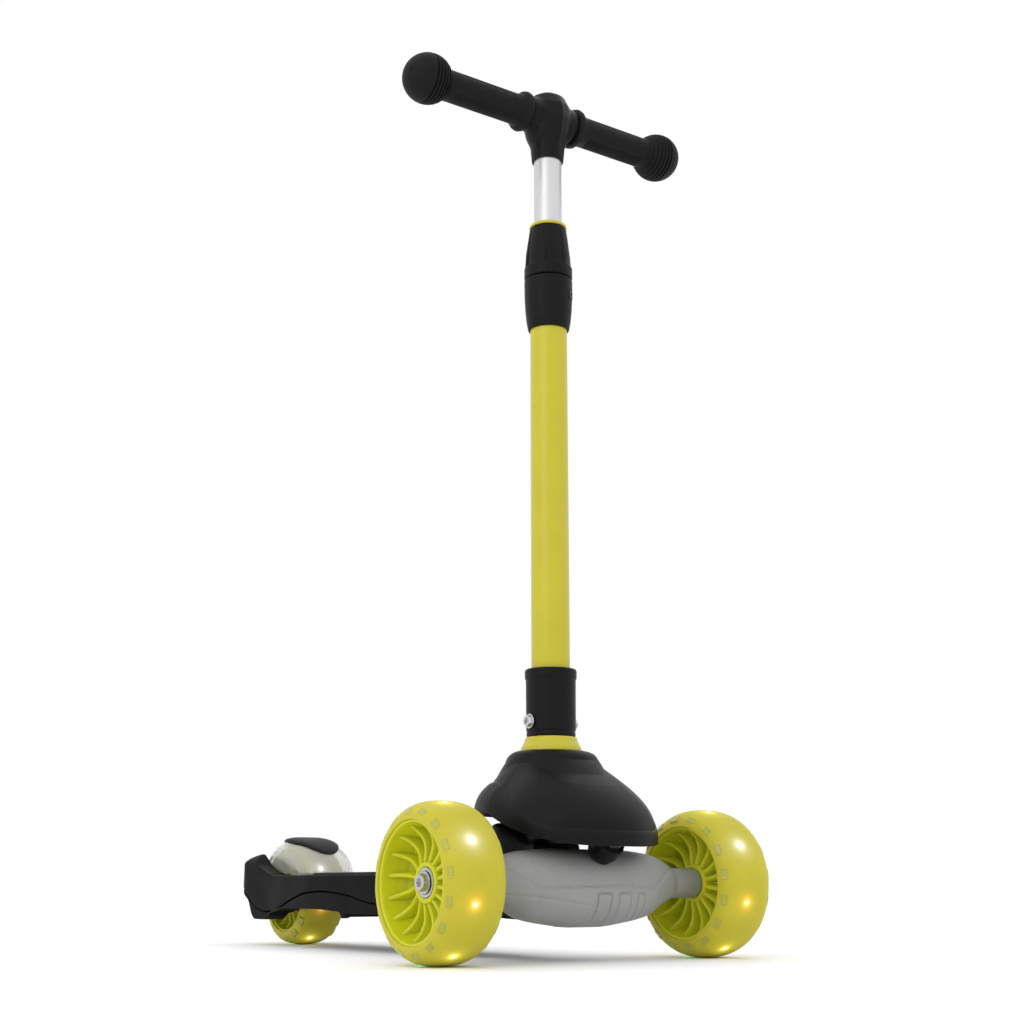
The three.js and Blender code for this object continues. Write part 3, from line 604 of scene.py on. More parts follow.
def tyre_part(radius, half, crown, side):
    """The tyre's skin with a fine seam round the middle of its tread."""
    outside = tread(radius, half, crown, side)
    seam = np.exp(-((outside[:, 1] / 0.35) ** 2)) * 0.12
    edge = outside[-1, 1]
    lip = [(side - 1.2, edge + 0.1), (side - 1.6, edge - 1.2)]
    lip += [(r, -y) for r, y in reversed(lip)]
    profile = np.vstack([outside + np.stack([seam, 0 * seam], -1), np.array(lip)])
    profile[:, 1] = np.clip(profile[:, 1], -half, half)
    return lathe(profile, 160)


def window_parts(radius, half, crown, side, sign):
    """Moulded windows round the tyre's shoulder: shallow frames lying on its curve."""
    outside = tread(radius, half, crown, side, 200)
    outside = outside[outside[:, 1] > 0]
    along = np.cumsum(np.r_[0, np.hypot(*np.diff(outside, axis=0).T)])
    start, length, half_span = along[-1] - 8.6, 5.6, 4.6
    parts = []
    for k in range(WINDOWS):
        middle = math.radians(-15 + 360 / WINDOWS * k)
        rows = []
        for v in np.linspace(0, 1, 9):
            s = start + v * length
            r, y = np.interp(s, along, outside[:, 0]), np.interp(s, along, outside[:, 1])
            r2, y2 = np.interp(s + 0.1, along, outside[:, 0]), np.interp(s + 0.1, along, outside[:, 1])
            out = np.array([y2 - y, r - r2]) / 0.1
            row = []
            for u in np.linspace(-1, 1, 13):
                edge = min(1 - abs(u), 1 - abs(2 * v - 1))
                lift = 0.28 if 0.06 < edge < 0.3 else (-0.35 if edge <= 0.06 else 0.06)
                rr, yy = r + out[0] * lift, y + out[1] * lift
                a = middle + u * half_span / r
                row.append((rr * math.cos(a), rr * math.sin(a), yy * sign))
            rows.append(row)
        parts.append(grid(rows, closed_u=False))
    return parts


def core_part(side, half, hub):
    """The dished centre with its hub boss and rim, the same on both faces."""
    rim = side - 0.9
    top = half - 1.6
    one = [
        (rim, 0), (rim, top - 1.0), (rim - 0.9, top + 0.1), (rim - 2.2, top), (rim - 2.9, top - 1.4),
        (rim - 3.6, top * 0.72), (rim - 5.0, top * 0.4), (rim - 7.6, WEB + 1.4), (rim - 11, WEB),
        (BEARING_R + 8, WEB), (BEARING_R + 5.6, WEB + 1.6), (BEARING_R + 4.6, hub - 1.2),
        (BEARING_R + 3.8, hub), (BEARING_R + 1.1, hub), (BEARING_R + 0.25, hub - 0.8),
    ]
    back = [(r, -y) for r, y in reversed(one)][:-1]
    return lathe(filleted([*one, *back], 0.7), 144)


def spoke_part(turn, side, half, hub, sign):
    """One radial rib of the dish: thick at its foot, its top edge dipping between hub and rim."""
    inner, outer = BEARING_R + 3.4, side - 2.6
    steps = 18
    crest = [(0, hub - 0.4), (0.2, hub - 2), (0.45, hub - 3), (0.7, hub - 0.5), (0.85, hub + 3.5),
             (1, half - 5)]
    if hub > half - 6:
        crest = [(0, hub - 0.4), (0.3, hub - 4), (0.6, hub - 5), (1, half - 4)]
    rows = []
    for i in range(steps + 1):
        s = i / steps
        r = inner + (outer - inner) * s
        high = float(smooth_run(crest, s))
        lean = math.radians(5) * s * s
        ring = []
        for across, height in (
            (-2.7, WEB - 1.0), (-1.6, high - 1.3), (-1.2, high - 0.4), (-0.5, high),
            (0.5, high), (1.2, high - 0.4), (1.6, high - 1.3), (2.7, WEB - 1.0),
        ):
            a = turn + lean + across / r
            ring.append((r * math.cos(a), r * math.sin(a), height * sign))
        rows.append(ring)
    return capped(rows)


def lamp_parts(radius):
    """Low round beads in the tread, one in the middle of each lamp's sector."""
    parts = []
    for k in range(LAMPS):
        a = math.radians(LAMP_START + 360 / LAMPS * (k + 0.5))
        rings = []
        for lift, r in ((-1.2, 1.5), (-0.2, 1.5), (0.35, 1.2), (0.6, 0.7), (0.7, 0.15)):
            ring = []
            for j in range(14):
                b = j / 14 * 2 * math.pi
                x = radius + lift
                t, w = r * math.cos(b), LAMP_SIDE + r * math.sin(b)
                ring.append((x * math.cos(a) - t * math.sin(a), x * math.sin(a) + t * math.cos(a), w))
            rings.append(ring)
        parts.append(capped(rings))
    return parts


def bearing_part(low, high):
    """Bearing face: outer race, recessed seal and inner race, the same on both ends."""
    inner, r = 4.3, BEARING_R
    section = [(inner, 0), (inner + 1.6, 0), (inner + 1.9, 0.7), (r - 2.4, 0.7), (r - 2.1, 0), (r, 0)]
    face = [(across, high - deep) for across, deep in section]
    back = [(across, low + deep) for across, deep in reversed(section)]
    return lathe(filleted(face + back, 0.25, 2), 72)


def wheel(label, body, x, y, z, radius, half, crown, side, hub):
    """A whole wheel at (x, y, z): half is half its width, side the radius where the tyre's lip starts."""
    def put(parts):
        return [along_y(p, x, z, y) for p in parts]

    skin = tyre_material(f"lime_tyre_{label}", x, y, z, radius)
    piece(f"tyre_skin_{label}", put([tyre_part(radius, half, crown, side)]), body, skin,
          [f"tyre_{label}"], sharp=50)
    windows = window_parts(radius, half, crown, side, 1) + window_parts(radius, half, crown, side, -1)
    piece(f"shoulder_windows_{label}", put(windows), body, WINDOW, sharp=30,
          modifiers=[("SOLIDIFY", {"thickness": 0.5 * MM, "offset": -1})])
    ribs = [
        spoke_part(k / SPOKES * 2 * math.pi + shift, side, half, hub, sign)
        for sign, shift in ((1, 0), (-1, math.pi / SPOKES)) for k in range(SPOKES)
    ]
    piece(f"dish_{label}", put([core_part(side, half, hub), *ribs]), body, CORE,
          [f"wheel_core_{label}"], sharp=40)
    low, high = hub - 7, hub
    piece(f"bearing_face_outer_{label}", put([bearing_part(low, high)]), body, STEEL,
          [f"bearing_outer_{label}"])
    piece(f"bearing_face_inner_{label}", put([bearing_part(-high, -low)]), body, STEEL,
          [f"bearing_inner_{label}"])
    piece(f"lamps_{label}", put(lamp_parts(radius - 0.25)), body, lamp_material(f"lamps_{label}", x, z))


FRONT_SHAPE = {"radius": FRONT_R, "half": FRONT_HALF, "crown": 17.2, "side": 47.2, "hub": HUB_HALF}
for label, sign in (("front_left", 1), ("front_right", -1)):
    wheel(label, f"front_wheel_{label.split('_')[1]}", FRONT_X, sign * TRACK_Y, FRONT_R, **FRONT_SHAPE)
wheel("rear", "rear_wheel", REAR_X, 0, REAR_R, radius=REAR_R, half=REAR_HALF, crown=12, side=38.6, hub=19.5)

for label, sign in (("left", 1), ("right", -1)):
    head = screw_head(6.6, 5.0, 40, "hex", across=0.5, shank=4)
    washer = lathe(filleted([(4.3, -0.1), (8.2, -0.1), (8.2, 0.5), (4.3, 0.5)], 0.2, 2), 60)
    flats = [(6.9, 0.4), (7.2, 0.9), (7.2, 3.2), (6.6, 4.0), (4.0, 4.0), (4.0, 0.4)]
    nut = lathe(split(filleted(flats, 0.3, 2), 0.8), 72, hexed(6.3 * 1.08, 6))
    start = TRACK_Y + HUB_HALF + 0.4
    fixings = [along_y(p, FRONT_X, FRONT_R, sign * start, sign) for p in (head, washer, nut)]
    piece(f"axle_nut_{label}", fixings, "truck", STEEL, [f"axle_bolt_{label}"])


# ---- Hood ----------------------------------------------------------------------------------

CREASE = [(0, 98.2), (15, 98.6), (28, 99.8), (40, 103.4), (51, 110.4), (63, 121), (72, 130),
          (82, 136.2), (95, 138.5), (112, 138), (132, 134), (155, 128), (180, 125)]
SHOULDER_Z = [(0, 134.8), (20, 135.4), (32, 139), (45, 146), (60, 151), (76, 153), (90, 149.5),
              (104, 143), (125, 140), (180, 139)]
SHOULDER_R = [(0, 65.6), (20, 65), (32, 59.5), (45, 49.5), (60, 44.5), (78, 42.4), (90, 44.5),
              (105, 48), (130, 48), (180, 47)]
FULLNESS = [(0, 1.85), (40, 1.75), (80, 1.25), (180, 1.5)]
TURRET_FOOT_R = [(0, 51.5), (20, 50.5), (36, 46.5), (52, 43.6), (72, 42), (95, 44), (120, 47), (180, 48)]
TURRET_FOOT_Z = [(0, 143.6), (20, 144), (36, 147), (52, 150.5), (72, 153), (95, 149), (120, 141),
                 (180, 139)]
RIM_Z = 165.4
RIM_R = 26.2


def hood_edge(x):
    """Height of the hood's lower edge, which rises from the nose to the back."""
    share = np.clip((HOOD_X + HOOD_LONG - x) / (HOOD_LONG + 5), 0, 1)
    return 87 + 26.6 * share ** 1.6


def plan_radius(angle):
    """Distance from the stem axis to the hood's outline in plan."""
    c, s = np.cos(angle), np.sin(angle)
    shift = HOOD_X - STEM_X
    a = (c / HOOD_LONG) ** 2 + (s / HOOD_WIDE) ** 2
    b = -2 * shift * c / HOOD_LONG ** 2
    k = (shift / HOOD_LONG) ** 2 - 1
    return (-b + np.sqrt(b * b - 4 * a * k)) / (2 * a)


def soft_max(a, b, width):
    """The larger of two, rounded over where they cross."""
    h = np.clip(0.5 + 0.5 * (a - b) / width, 0, 1)
    return b + (a - b) * h + width * h * (1 - h)


def hood_body(turn, outline, edge, z):
    """The dome with its swoosh shoulder, without the turret and the skirt."""
    crease = smooth_run(CREASE, turn)
    top, inner = smooth_run(SHOULDER_Z, turn), smooth_run(SHOULDER_R, turn)
    foot = crease + (edge - crease) * step(45, 75, turn)
    t = np.clip((z - foot) / (top - foot), 0, 1)
    return inner + (outline * 0.975 - inner) * (1 - t ** smooth_run(FULLNESS, turn))


def hood_radius(angle, z):
    """Distance from the stem axis to the hood's skin."""
    turn = np.abs((np.degrees(angle) + 180) % 360 - 180)
    outline = plan_radius(angle)
    crease = smooth_run(CREASE, turn)
    edge = hood_edge(STEM_X + outline * np.cos(angle))
    top, inner = smooth_run(SHOULDER_Z, turn), smooth_run(SHOULDER_R, turn)
    foot_z, foot_r = smooth_run(TURRET_FOOT_Z, turn), smooth_run(TURRET_FOOT_R, turn)
    body = hood_body(turn, outline, edge, z)
    ledge = inner + (foot_r - inner) * np.clip((z - top) / np.maximum(foot_z - top, 1.5), 0, 1)
    body = np.where(z > top, ledge - 3 * np.clip(z - np.maximum(foot_z, top), 0, 99), body)
    body = body + 0.9 * np.exp(-(((turn - 29) / 5.5) ** 2)) * step(99, 110, z) * (1 - step(120, 133, z))
    # the turret: a steep wall, rounded over at its rim, that flares at its foot
    up = np.clip((z - foot_z) / (RIM_Z - foot_z), 0, 1)
    lean = foot_r + (38.5 - foot_r) * np.clip(up / 0.6, 0, 1)
    over = np.clip((up - 0.45) / 0.55, 0, 1)
    wall = RIM_R + (lean - RIM_R) * np.sqrt(np.maximum(0, 1 - over ** 2.3))
    below = foot_r + np.clip(foot_z - z, 0, 40) * 0.32
    turret = np.where(z > foot_z, wall, np.minimum(below, outline * 0.9))
    dent = np.exp(-(((turn - 62) / 4.5) ** 2)) * step(0.0, 0.25, up) * (1 - step(0.5, 0.8, up))
    turret = turret - 0.7 * dent
    # the skirt: upright at the nose, and at the sides a wing that curls in to meet the dome
    meet = hood_body(turn, outline, edge, crease)
    t = np.clip((z - edge) / (crease - edge), 0, 1)
    proud = 0.9 + 1.5 * step(40, 75, turn)
    skirt = meet + (outline - meet) * (1 - t ** 1.95) + proud * step(0.1, 0.9, t)
    skirt = np.minimum(skirt, outline + 0.2) - 3.0 * np.clip(z - crease, 0, 99)
    return soft_max(soft_max(body, turret, 1.2), skirt, 0.5)


def hood_part():
    """Rings of the hood from its lower edge up to the turret's rim and into it."""
    count, levels = 320, 150
    angle = np.arange(count) / count * 2 * math.pi
    outline = plan_radius(angle)
    low = hood_edge(STEM_X + outline * np.cos(angle))
    rows = []
    for k in range(levels + 1):
        z = low + (RIM_Z - low) * (1 - (1 - k / levels) ** 1.12)
        r = hood_radius(angle, z)
        rows.append(np.stack([r * np.cos(angle), r * np.sin(angle), z], -1))
    for r, z in ((RIM_R - 0.3, RIM_Z - 0.5), (RIM_R - 0.3, RIM_Z - 4.0)):
        rows.append(np.stack([r * np.cos(angle), r * np.sin(angle), np.full(count, z)], -1))
    return grid(rows)


piece("hood_cover", [moved(hood_part(), x=STEM_X)], "deck", BLACK, ["hood"], sharp=60,
      modifiers=[("SOLIDIFY", {"thickness": 2.4 * MM, "offset": -1.0})])


# ---- Stem ----------------------------------------------------------------------------------

CONE_LOW = box("stem_cone")[0]
cone = filleted([(16.6, CONE_LOW[2]), (25.6, CONE_LOW[2]), (25.7, 165.4), (24.9, 168.6), (22.6, 172.6),
                 (21.2, 177), (16.6, 177)], 0.8)
piece("cone_paint", [around_stem(lathe(cone, 96))], "deck", PAINT, ["stem_cone"])

COLLAR_SCREW_Z = 189.4
BASE_LOW, BASE_HIGH, _ = box("base_collar")
z0, z1 = BASE_LOW[2], BASE_HIGH[2]
base = filleted([(16.6, z0), (19.9, z0), (20.4, z0 + 1.2), (20.4, z0 + 3.4), (19.9, z0 + 4.2),
                 (20.6, z0 + 5.2), (20.9, z1 - 9), (21.7, z1 - 7.4), (21.8, z1 - 1.6), (21.0, z1),
                 (16.6, z1)], 0.6)


def collar_seat(r, z, a):
    """A small flat boss under the screw on each side."""
    reach = 6.2
    beside = sum(np.exp(-(((a - side) * 21 / reach) ** 4)) for side in (1.5 * math.pi, 0.5 * math.pi))
    return np.where(r > 20, r + 0.45 * beside * np.exp(-(((z - COLLAR_SCREW_Z) / reach) ** 4)), r)


piece("collar_moulding", [around_stem(lathe(split(base, 1.0), 144, collar_seat))], "deck", BLACK,
      ["base_collar"])
bolt = screw_head(4.9, 3.2, 40, "hex", across=0.52, shank=2.5)
ring = lathe(filleted([(2.7, -0.4), (6.0, -0.4), (6.0, 0.3), (2.7, 0.3)], 0.2, 2), 60)
piece("collar_screw", [along_y(p, STEM_X, COLLAR_SCREW_Z, -22.2, -1) for p in (bolt, ring)], "deck", STEEL,
      ["collar_bolt"])


nut = split(filleted([(2.9, 0), (4.9, 0), (4.9, 2.4), (4.2, 3.0), (2.9, 3.0)], 0.2, 2), 0.6)
nut_part = lathe(nut, 72, hexed(4.8, 4.8 * 0.8))
piece("collar_lock_nut", [along_y(nut_part, STEM_X, COLLAR_SCREW_Z, 21.95)], "deck", STEEL,
      ["collar_nut"])

TUBE_LOW, TUBE_HIGH, _ = box("stem_tube")
z0, z1 = TUBE_LOW[2], TUBE_HIGH[2]
tube = filleted([(14.5, z0), (STEM_R, z0), (STEM_R, z1), (14.5, z1)], 0.5)
piece("stem_paint", [around_stem(lathe(split(tube, 12), 128))], "deck", PAINT, ["stem_tube"])

CLAMP_LOW, CLAMP_HIGH, _ = box("clamp_sleeve")
z0, z1 = CLAMP_LOW[2], CLAMP_HIGH[2]
SCREW_TURN = math.radians(33)
SCREW_Z = 566.0


def sleeve_shape(r, z, a):
    """A shallow round seat for the screw, with a fine ring moulded round it."""
    turn = (a - SCREW_TURN + math.pi) % (2 * math.pi) - math.pi
    away = np.hypot(turn * 21, z - SCREW_Z)
    dish = 0.5 * (1 - step(4.4, 5.2, away)) - 0.3 * np.exp(-(((away - 5.6) / 0.5) ** 2))
    return np.where(r > 17.2, r - dish, r)


sleeve = filleted([(16.6, z0), (17.5, z0), (18.3, z0 + 1.5), (19.6, z0 + 9), (20.6, z0 + 19),
                   (21.25, z0 + 32), (21.4, z1 - 1.3), (20.0, z1), (16.6, z1)], 0.5)
piece("clamp_moulding", [around_stem(lathe(split(sleeve, 0.9), 200, sleeve_shape))], "deck", BLACK,
      ["clamp_sleeve"])


def clamp_screw_part():
    """A socket screw that points outwards from the stem, turned to its place round it."""
    points, faces = screw_head(3.4, 1.6, 2.6, "hex", across=0.55, shank=3.3)
    out, beside, up = points[:, 2] + 19.9, points[:, 0], points[:, 1]
    c, s = math.cos(SCREW_TURN), math.sin(SCREW_TURN)
    return np.stack([out * c - beside * s + STEM_X, out * s + beside * c, up + SCREW_Z], -1), faces


piece("clamp_socket_screw", [clamp_screw_part()], "deck", BLACK_STEEL, ["clamp_screw"])

LOCK_LOW, LOCK_HIGH, _ = box("twist_collar")
z0, z1 = LOCK_LOW[2], LOCK_HIGH[2]
PANELS = 6


def twist_shape(r, z, a):
    """Finger panels: flats that start at a step and run out towards the top."""
    turn = ((a - math.radians(12)) * PANELS / (2 * math.pi)) % 1 - 0.5
    width = 0.40 - 0.06 * step(z0 + 11, z1, z)
    panel = 1 - step(width, width + 0.035, np.abs(turn))
    rise = step(z0 + 10.6, z0 + 11.6, z)
    flat = 1.25 * panel * rise * (1 - 0.75 * step(z0 + 14, z1 - 4, z))
    return np.where(r > 15.2, r - flat, r)


twist = filleted([(16.6, z0), (20.0, z0), (21.4, z0 + 1.1), (21.4, z0 + 10.4), (21.3, z0 + 11.4),
                  (20.3, z0 + 24), (18.1, z0 + 38), (16.6, z1 - 1.2), (15.8, z1), (14.7, z1),
                  (14.7, z0 + 24), (16.6, z0 + 24)], 0.6)
piece("twist_moulding", [around_stem(lathe(split(twist, 0.7), 240, twist_shape))], "lock", BLACK,
      ["twist_collar"], sharp=32)
RING_LOW, RING_HIGH, _ = box("top_ring")
z0, z1 = RING_LOW[2], RING_HIGH[2]
ring = filleted([(13.0, z0), (16.7, z0), (16.9, z0 + 0.9), (16.3, z0 + 2.6), (13.0, z0 + 2.6)], 0.5)
piece("ring_paint", [around_stem(lathe(ring, 96))], "lock", PAINT, ["top_ring"])


# ---- Handlebar -----------------------------------------------------------------------------

INNER_LOW, INNER_HIGH, _ = box("inner_tube")
z0, z1 = INNER_LOW[2], INNER_HIGH[2]
tube = filleted([(11.1, z0), (12.5, z0), (12.5, z1), (11.1, z1)], 0.3)
piece("bright_tube", [around_stem(lathe(split(tube, 10), 128))], "handlebar", ALUMINIUM,
      ["inner_tube"])


def hub_shape(points):
    """A soft ridge down the front and back of the hub."""
    x, y, z = points.T
    ahead = x - STEM_X
    ridge = 1.1 * np.exp(-((y / 2.6) ** 2)) * step(700, 716, z) * (1 - step(744, 757, z))
    out = points.copy()
    out[:, 0] += np.sign(ahead) * ridge * step(9, 13, np.abs(ahead))
    return out


softened("handle_hub", "hub_moulding", BLACK_FINE, voxel=0.75, smooth=14, shape=hub_shape)


def grip_profile():
    """Inner flange, shaft, ball and bore as (radius, distance from the middle)."""
    start = 25.3
    flange = [(9.9, 0.5), (15.2, 0), (17.6, 1.2), (18.3, 3.6), (17.6, 6.2), (15.0, 8.0), (14.1, 11),
              (SHAFT_R, 15)]
    ball_start = BALL_Y - math.sqrt(BALL_R ** 2 - SHAFT_R ** 2)
    shaft = [(SHAFT_R, y) for y in np.arange(start + 16, ball_start - 0.5, 0.42)]
    first = math.acos((ball_start - BALL_Y) / BALL_R)
    ball = [(BALL_R * math.sin(a), BALL_Y + BALL_R * math.cos(a)) for a in np.linspace(first, 0, 150)]
    bore = [(0.02, BALL_Y + BALL_R), (0.02, 126.0), (9.9, 125.6)]
    return np.array([(r, start + y) for r, y in flange] + shaft + ball + bore)


def grip_shape(r, y, a):
    """Fine ribs under the shaft, a long shallow panel in front, and rings round the ball."""
    down = step(0.72, 0.8, -np.sin(a))
    on_shaft = step(40, 42, y) * (1 - step(104, 107, y))
    ribs = 0.8 * (0.5 - 0.5 * np.cos(y * 2 * math.pi / 2.5)) * down * on_shaft
    front = 1 - step(0.42, 0.52, np.abs(a - 0.25))
    panel = 0.5 * front * step(44, 48, y) * (1 - step(96, 102, y))
    on_ball = y > BALL_Y - 18
    rings = sum(1.7 * np.exp(-(((y - (BALL_Y - 15.0 + 3.4 * k)) / 0.85) ** 4)) for k in range(6))
    return np.where(r > 9.95, r - np.where(on_ball, rings, ribs + panel), r)


def grip(side):
    """A whole grip, with the small slit in its end cap."""
    part = lathe(grip_profile(), 168, grip_shape)
    points = part[0]
    slit = np.exp(-((points[:, 1] / 1.9) ** 4)) * np.exp(-(((points[:, 0] - 7.5) / 0.8) ** 4))
    outside = points[:, 2] > BALL_Y + 10
    points[:, 2] -= 1.6 * slit * outside
    label = "left" if side > 0 else "right"
    piece(f"grip_moulding_{label}", [along_y(part, STEM_X, BAR_Z, 0, side)], "handlebar", BLACK_SOFT,
          [f"grip_{label}"], sharp=38)


grip(1)
grip(-1)
bar = filleted([(8.0, -124), (9.5, -124), (9.5, 124), (8.0, 124)], 0.3)
piece("bar_tube", [along_y(lathe(split(bar, 10), 64), STEM_X, BAR_Z)], "handlebar", STEEL,
      ["cross_bar"])


# ---- Front truck ---------------------------------------------------------------------------

WAVE = [(0, 57.8), (20, 58.0), (45, 56.4), (55, 56.2), (64, 59.6), (77, 67.7), (88, 70.6), (120, 71)]
WAVE_NEAR = [(0, 57.8), (30, 56.9), (53, 56.2), (63, 59.6), (77, 67.7), (88, 70.6), (120, 71)]
LOWER_LINE = [(-95, 52.5), (-77, 50.6), (-54, 48.7), (-20, 43.4), (-10, 41)]
BEAM_SECTIONS = {
    "top": [(0, 86), (32, 86), (58, 84), (73, 81), (85, 76), (93, 72), (119, 72)],
    "bottom": [(0, 26), (12, 26), (32, 28), (58, 32.5), (73, 40), (85, 45.4), (93, 48), (119, 48)],
    "forward": [(0, 34), (12, 34), (32, 31), (58, 24.5), (73, 19), (85, 14.5), (93, 12), (119, 12)],
    "back": [(0, 26), (12, 26), (32, 25), (58, 22), (73, 18), (85, 14), (93, 12), (119, 12)],
}
VENTS = [(-8.0, 5.0), (13.0, 26.0), (35.0, 43.0)]


def beam_part():
    """The grey beam: rounded sections across it, with its shelf, lines and vents cut into the front."""
    end = box("truck_beam")[1][1]
    ys = np.concatenate([np.linspace(-end, -60, 70), np.linspace(-59.4, 59.4, 190), np.linspace(60, end, 70)])
    count = 220
    angle = np.arange(count) / count * 2 * math.pi
    c, s = np.cos(angle), np.sin(angle)
    rows = []
    for y in ys:
        reach = abs(y)
        top, bottom, forward, back = (smooth_run(line, reach) for line in BEAM_SECTIONS.values())
        middle, half = (top + bottom) / 2, (top - bottom) / 2
        square = 0.82 + 0.18 * step(86, 94, reach)
        x = np.where(c > 0, forward, back) * np.sign(c) * np.abs(c) ** square
        z = middle + half * np.sign(s) * np.abs(s) ** square
        facing = step(0.15, 0.5, c)
        wave = smooth_run(WAVE if y > 0 else WAVE_NEAR, reach)
        fade = 1 - step(84, 94, reach)
        shelf = 1.3 * step(-1.0, 0.6, wave - z) - 0.8 * np.exp(-(((z - wave) / 0.9) ** 2))
        low = smooth_run(LOWER_LINE, y) if -95 < y < -10 else 0
        line = 0.6 * np.exp(-(((z - low) / 0.8) ** 2)) if low else 0
        groove = 0
        for left, right in VENTS:
            inside = step(left - 0.6, left + 0.6, y) * (1 - step(right - 0.6, right + 0.6, y))
            edge = min(abs(y - left), abs(y - right))
            upright = math.exp(-((edge / 0.75) ** 2)) * step(28, 31, z) * (1 - step(51, 52.5, z))
            cross = inside * np.exp(-(((z - 52) / 0.9) ** 2))
            groove = groove + 1.25 * np.maximum(upright, cross)
            swell = inside * step(29, 32, z) * (1 - step(50.5, 52, z)) * step(left, left + 9, y)
            groove = groove - 0.6 * swell
        parting = 0.3 * math.exp(-(((reach - 58.5) / 0.7) ** 2))
        change = facing * fade * (shelf - groove - line) - parting * facing
        rows.append(np.stack([FRONT_X + x + change, np.full(count, y), z], -1))
    return capped(rows)


beam = piece("beam_moulding", [beam_part()], "truck", GREY, ["truck_beam"], sharp=50)


def on_kingpin(along):
    """A point on the inclined steering axis."""
    x, z, slope = FRONT_X + 3, 68, math.radians(32)
    return x + along * math.cos(slope), 0, z + along * math.sin(slope)


bored(beam, [
    (on_kingpin(-75), on_kingpin(-31), 25.5),
    (on_kingpin(27.5), on_kingpin(75), 18.5),
    (on_kingpin(-60), on_kingpin(60), 5.2),
    *[((FRONT_X, side * 82, FRONT_R), (FRONT_X, side * 130, FRONT_R), 4.2) for side in (1, -1)],
])
for label, sign in (("left", 1), ("right", -1)):
    y = sign * (box("truck_beam")[1][1] - 0.6)
    collar = lathe(filleted([(4.3, -1.4), (9.6, -1.4), (9.6, 0.9), (8.4, 1.1), (4.3, 1.1)], 0.3, 2), 72)
    piece(f"axle_washer_{label}", [along_y(collar, FRONT_X, FRONT_R, y, sign)], "truck", STEEL)


# ---- Deck ----------------------------------------------------------------------------------

SLOT_END = -167.0  # the wheel slot's front end
PARTING_GAP = 0.35  # half the gap between the two deck mouldings
SIDE = [(TAIL_X, 22), (TAIL_X + 1.2, 29), (TAIL_X + 4.4, 36), (TAIL_X + 10, 42), (TAIL_X + 17, 45.6),
        (TAIL_X + 25, 47), (REAR_X, 47.5), (-175, 51.5), (-110, 55), (50, 55), (96, 52), (132, 42),
        (DECK_FRONT, 31)]
SLOT = [(TAIL_X, 16.5), (TAIL_X + 5, 18), (TAIL_X + 14, 25.6), (REAR_X - 30, 27.6), (-181, 27.6),
        (-171, 24.6), (-167.6, 17), (-167, 8)]
PARTING = [(TAIL_X - 2, 61), (TAIL_X + 10, 58), (-266, 49), (-247, 38), (-222, 33), (-190, 37),
           (-158, 45), (-124, 51.5), (-93, 53), (-46, 50), (0, 43), (60, 40), (DECK_FRONT + 5, 42)]
TOP_LINE = [(TAIL_X, 63), (TAIL_X + 4, 70.5), (TAIL_X + 11, 80), (TAIL_X + 20, 87.8), (TAIL_X + 27, 91),
            (TAIL_X + 34, 87.5), (-247, 78.5), (-225, 71.5), (-202, 68), (-190, 68), (DECK_FRONT, 68)]
CROWN = [(0, 91.6), (20, 91.6), (29, 90.6), (37, 87.6), (43, 83), (47, 77), (51, 70.5), (54.6, 66),
         (56, 60)]
UNDERSIDE = [(TAIL_X, 57), (TAIL_X + 8, 53.5), (-275, 48.5), (-265, 43.5), (-259.5, 36), (-255, 29),
             (-247, 25), (-222, 25), (-214, 28), (-206, 34), (-190, 36), (-170, 36.5), (-113, 36.5),
             (-60, 34.5), (-55, 33), (-53, 30), (-47.5, 30), (-42, 33), (DECK_FRONT, 33)]


def half_section(x, low, high_of, inner, outer):
    """One closed ring round an arm of the deck, between an inner and an outer side."""
    ring = []
    soft = min(2.2, (outer - inner) * 0.3)

    def rounding(away):
        """How far the top falls at a distance from a side."""
        return soft * (1 - math.sqrt(max(0, 1 - (1 - min(1, away / soft)) ** 2)))

    tops = np.concatenate([
        inner + soft * (1 - np.cos(np.linspace(0, math.pi / 2, 5))),
        np.linspace(inner + soft, outer - soft, 16)[1:-1],
        outer - soft * (1 - np.sin(np.linspace(0, math.pi / 2, 5))),
    ])
    for y in tops:
        drop_in = rounding(y - inner) if inner > 0.5 else 0
        ring.append((y, high_of(x, y) - drop_in - rounding(outer - y)))
    side_top = ring[-1][1]
    for t in np.linspace(0, 1, 14)[1:-1]:
        ring.append((outer, side_top + (low + 0.8 - side_top) * t))
    ring += [(outer, low + 0.8), (outer - 0.25, low + 0.2), (outer - 0.9, low)]
    ring += [(y, low) for y in np.linspace(outer - 3, inner + 1.2, 8)]
    ring += [(inner, low + 0.8)]
    back_top = ring[0][1]
    ring += [(inner, low + 0.8 + (back_top - low - 0.8) * t) for t in np.linspace(0, 1, 8)[1:-1]]
    return ring


def soft_min(a, b, width):
    """The smaller of two, rounded over where they cross."""
    return -soft_max(-a, -b, width)


def shell_top(x, y):
    """Height of the deck's top: its line along the side, and over the tail a crown across it."""
    across = smooth_run(CROWN, abs(y)) if x < REAR_X + 60 else CROWN[0][1]
    return float(soft_min(smooth_run(TOP_LINE, x), across, 2.0))


def deck_stations():
    """Places of the deck's sections, closer together where the tail and the slot's end turn."""
    tail = TAIL_X + 30 * (1 - np.cos(np.linspace(0, math.pi / 2, 26)))
    middle = np.linspace(tail[-1], SLOT_END - 16, 60)[1:]
    corner = SLOT_END - 16 * (1 - np.sin(np.linspace(0, math.pi / 2, 14)))[1:]
    ahead = np.linspace(SLOT_END + 0.6, DECK_FRONT - 2, 150)
    return np.concatenate([tail, middle, corner, ahead])


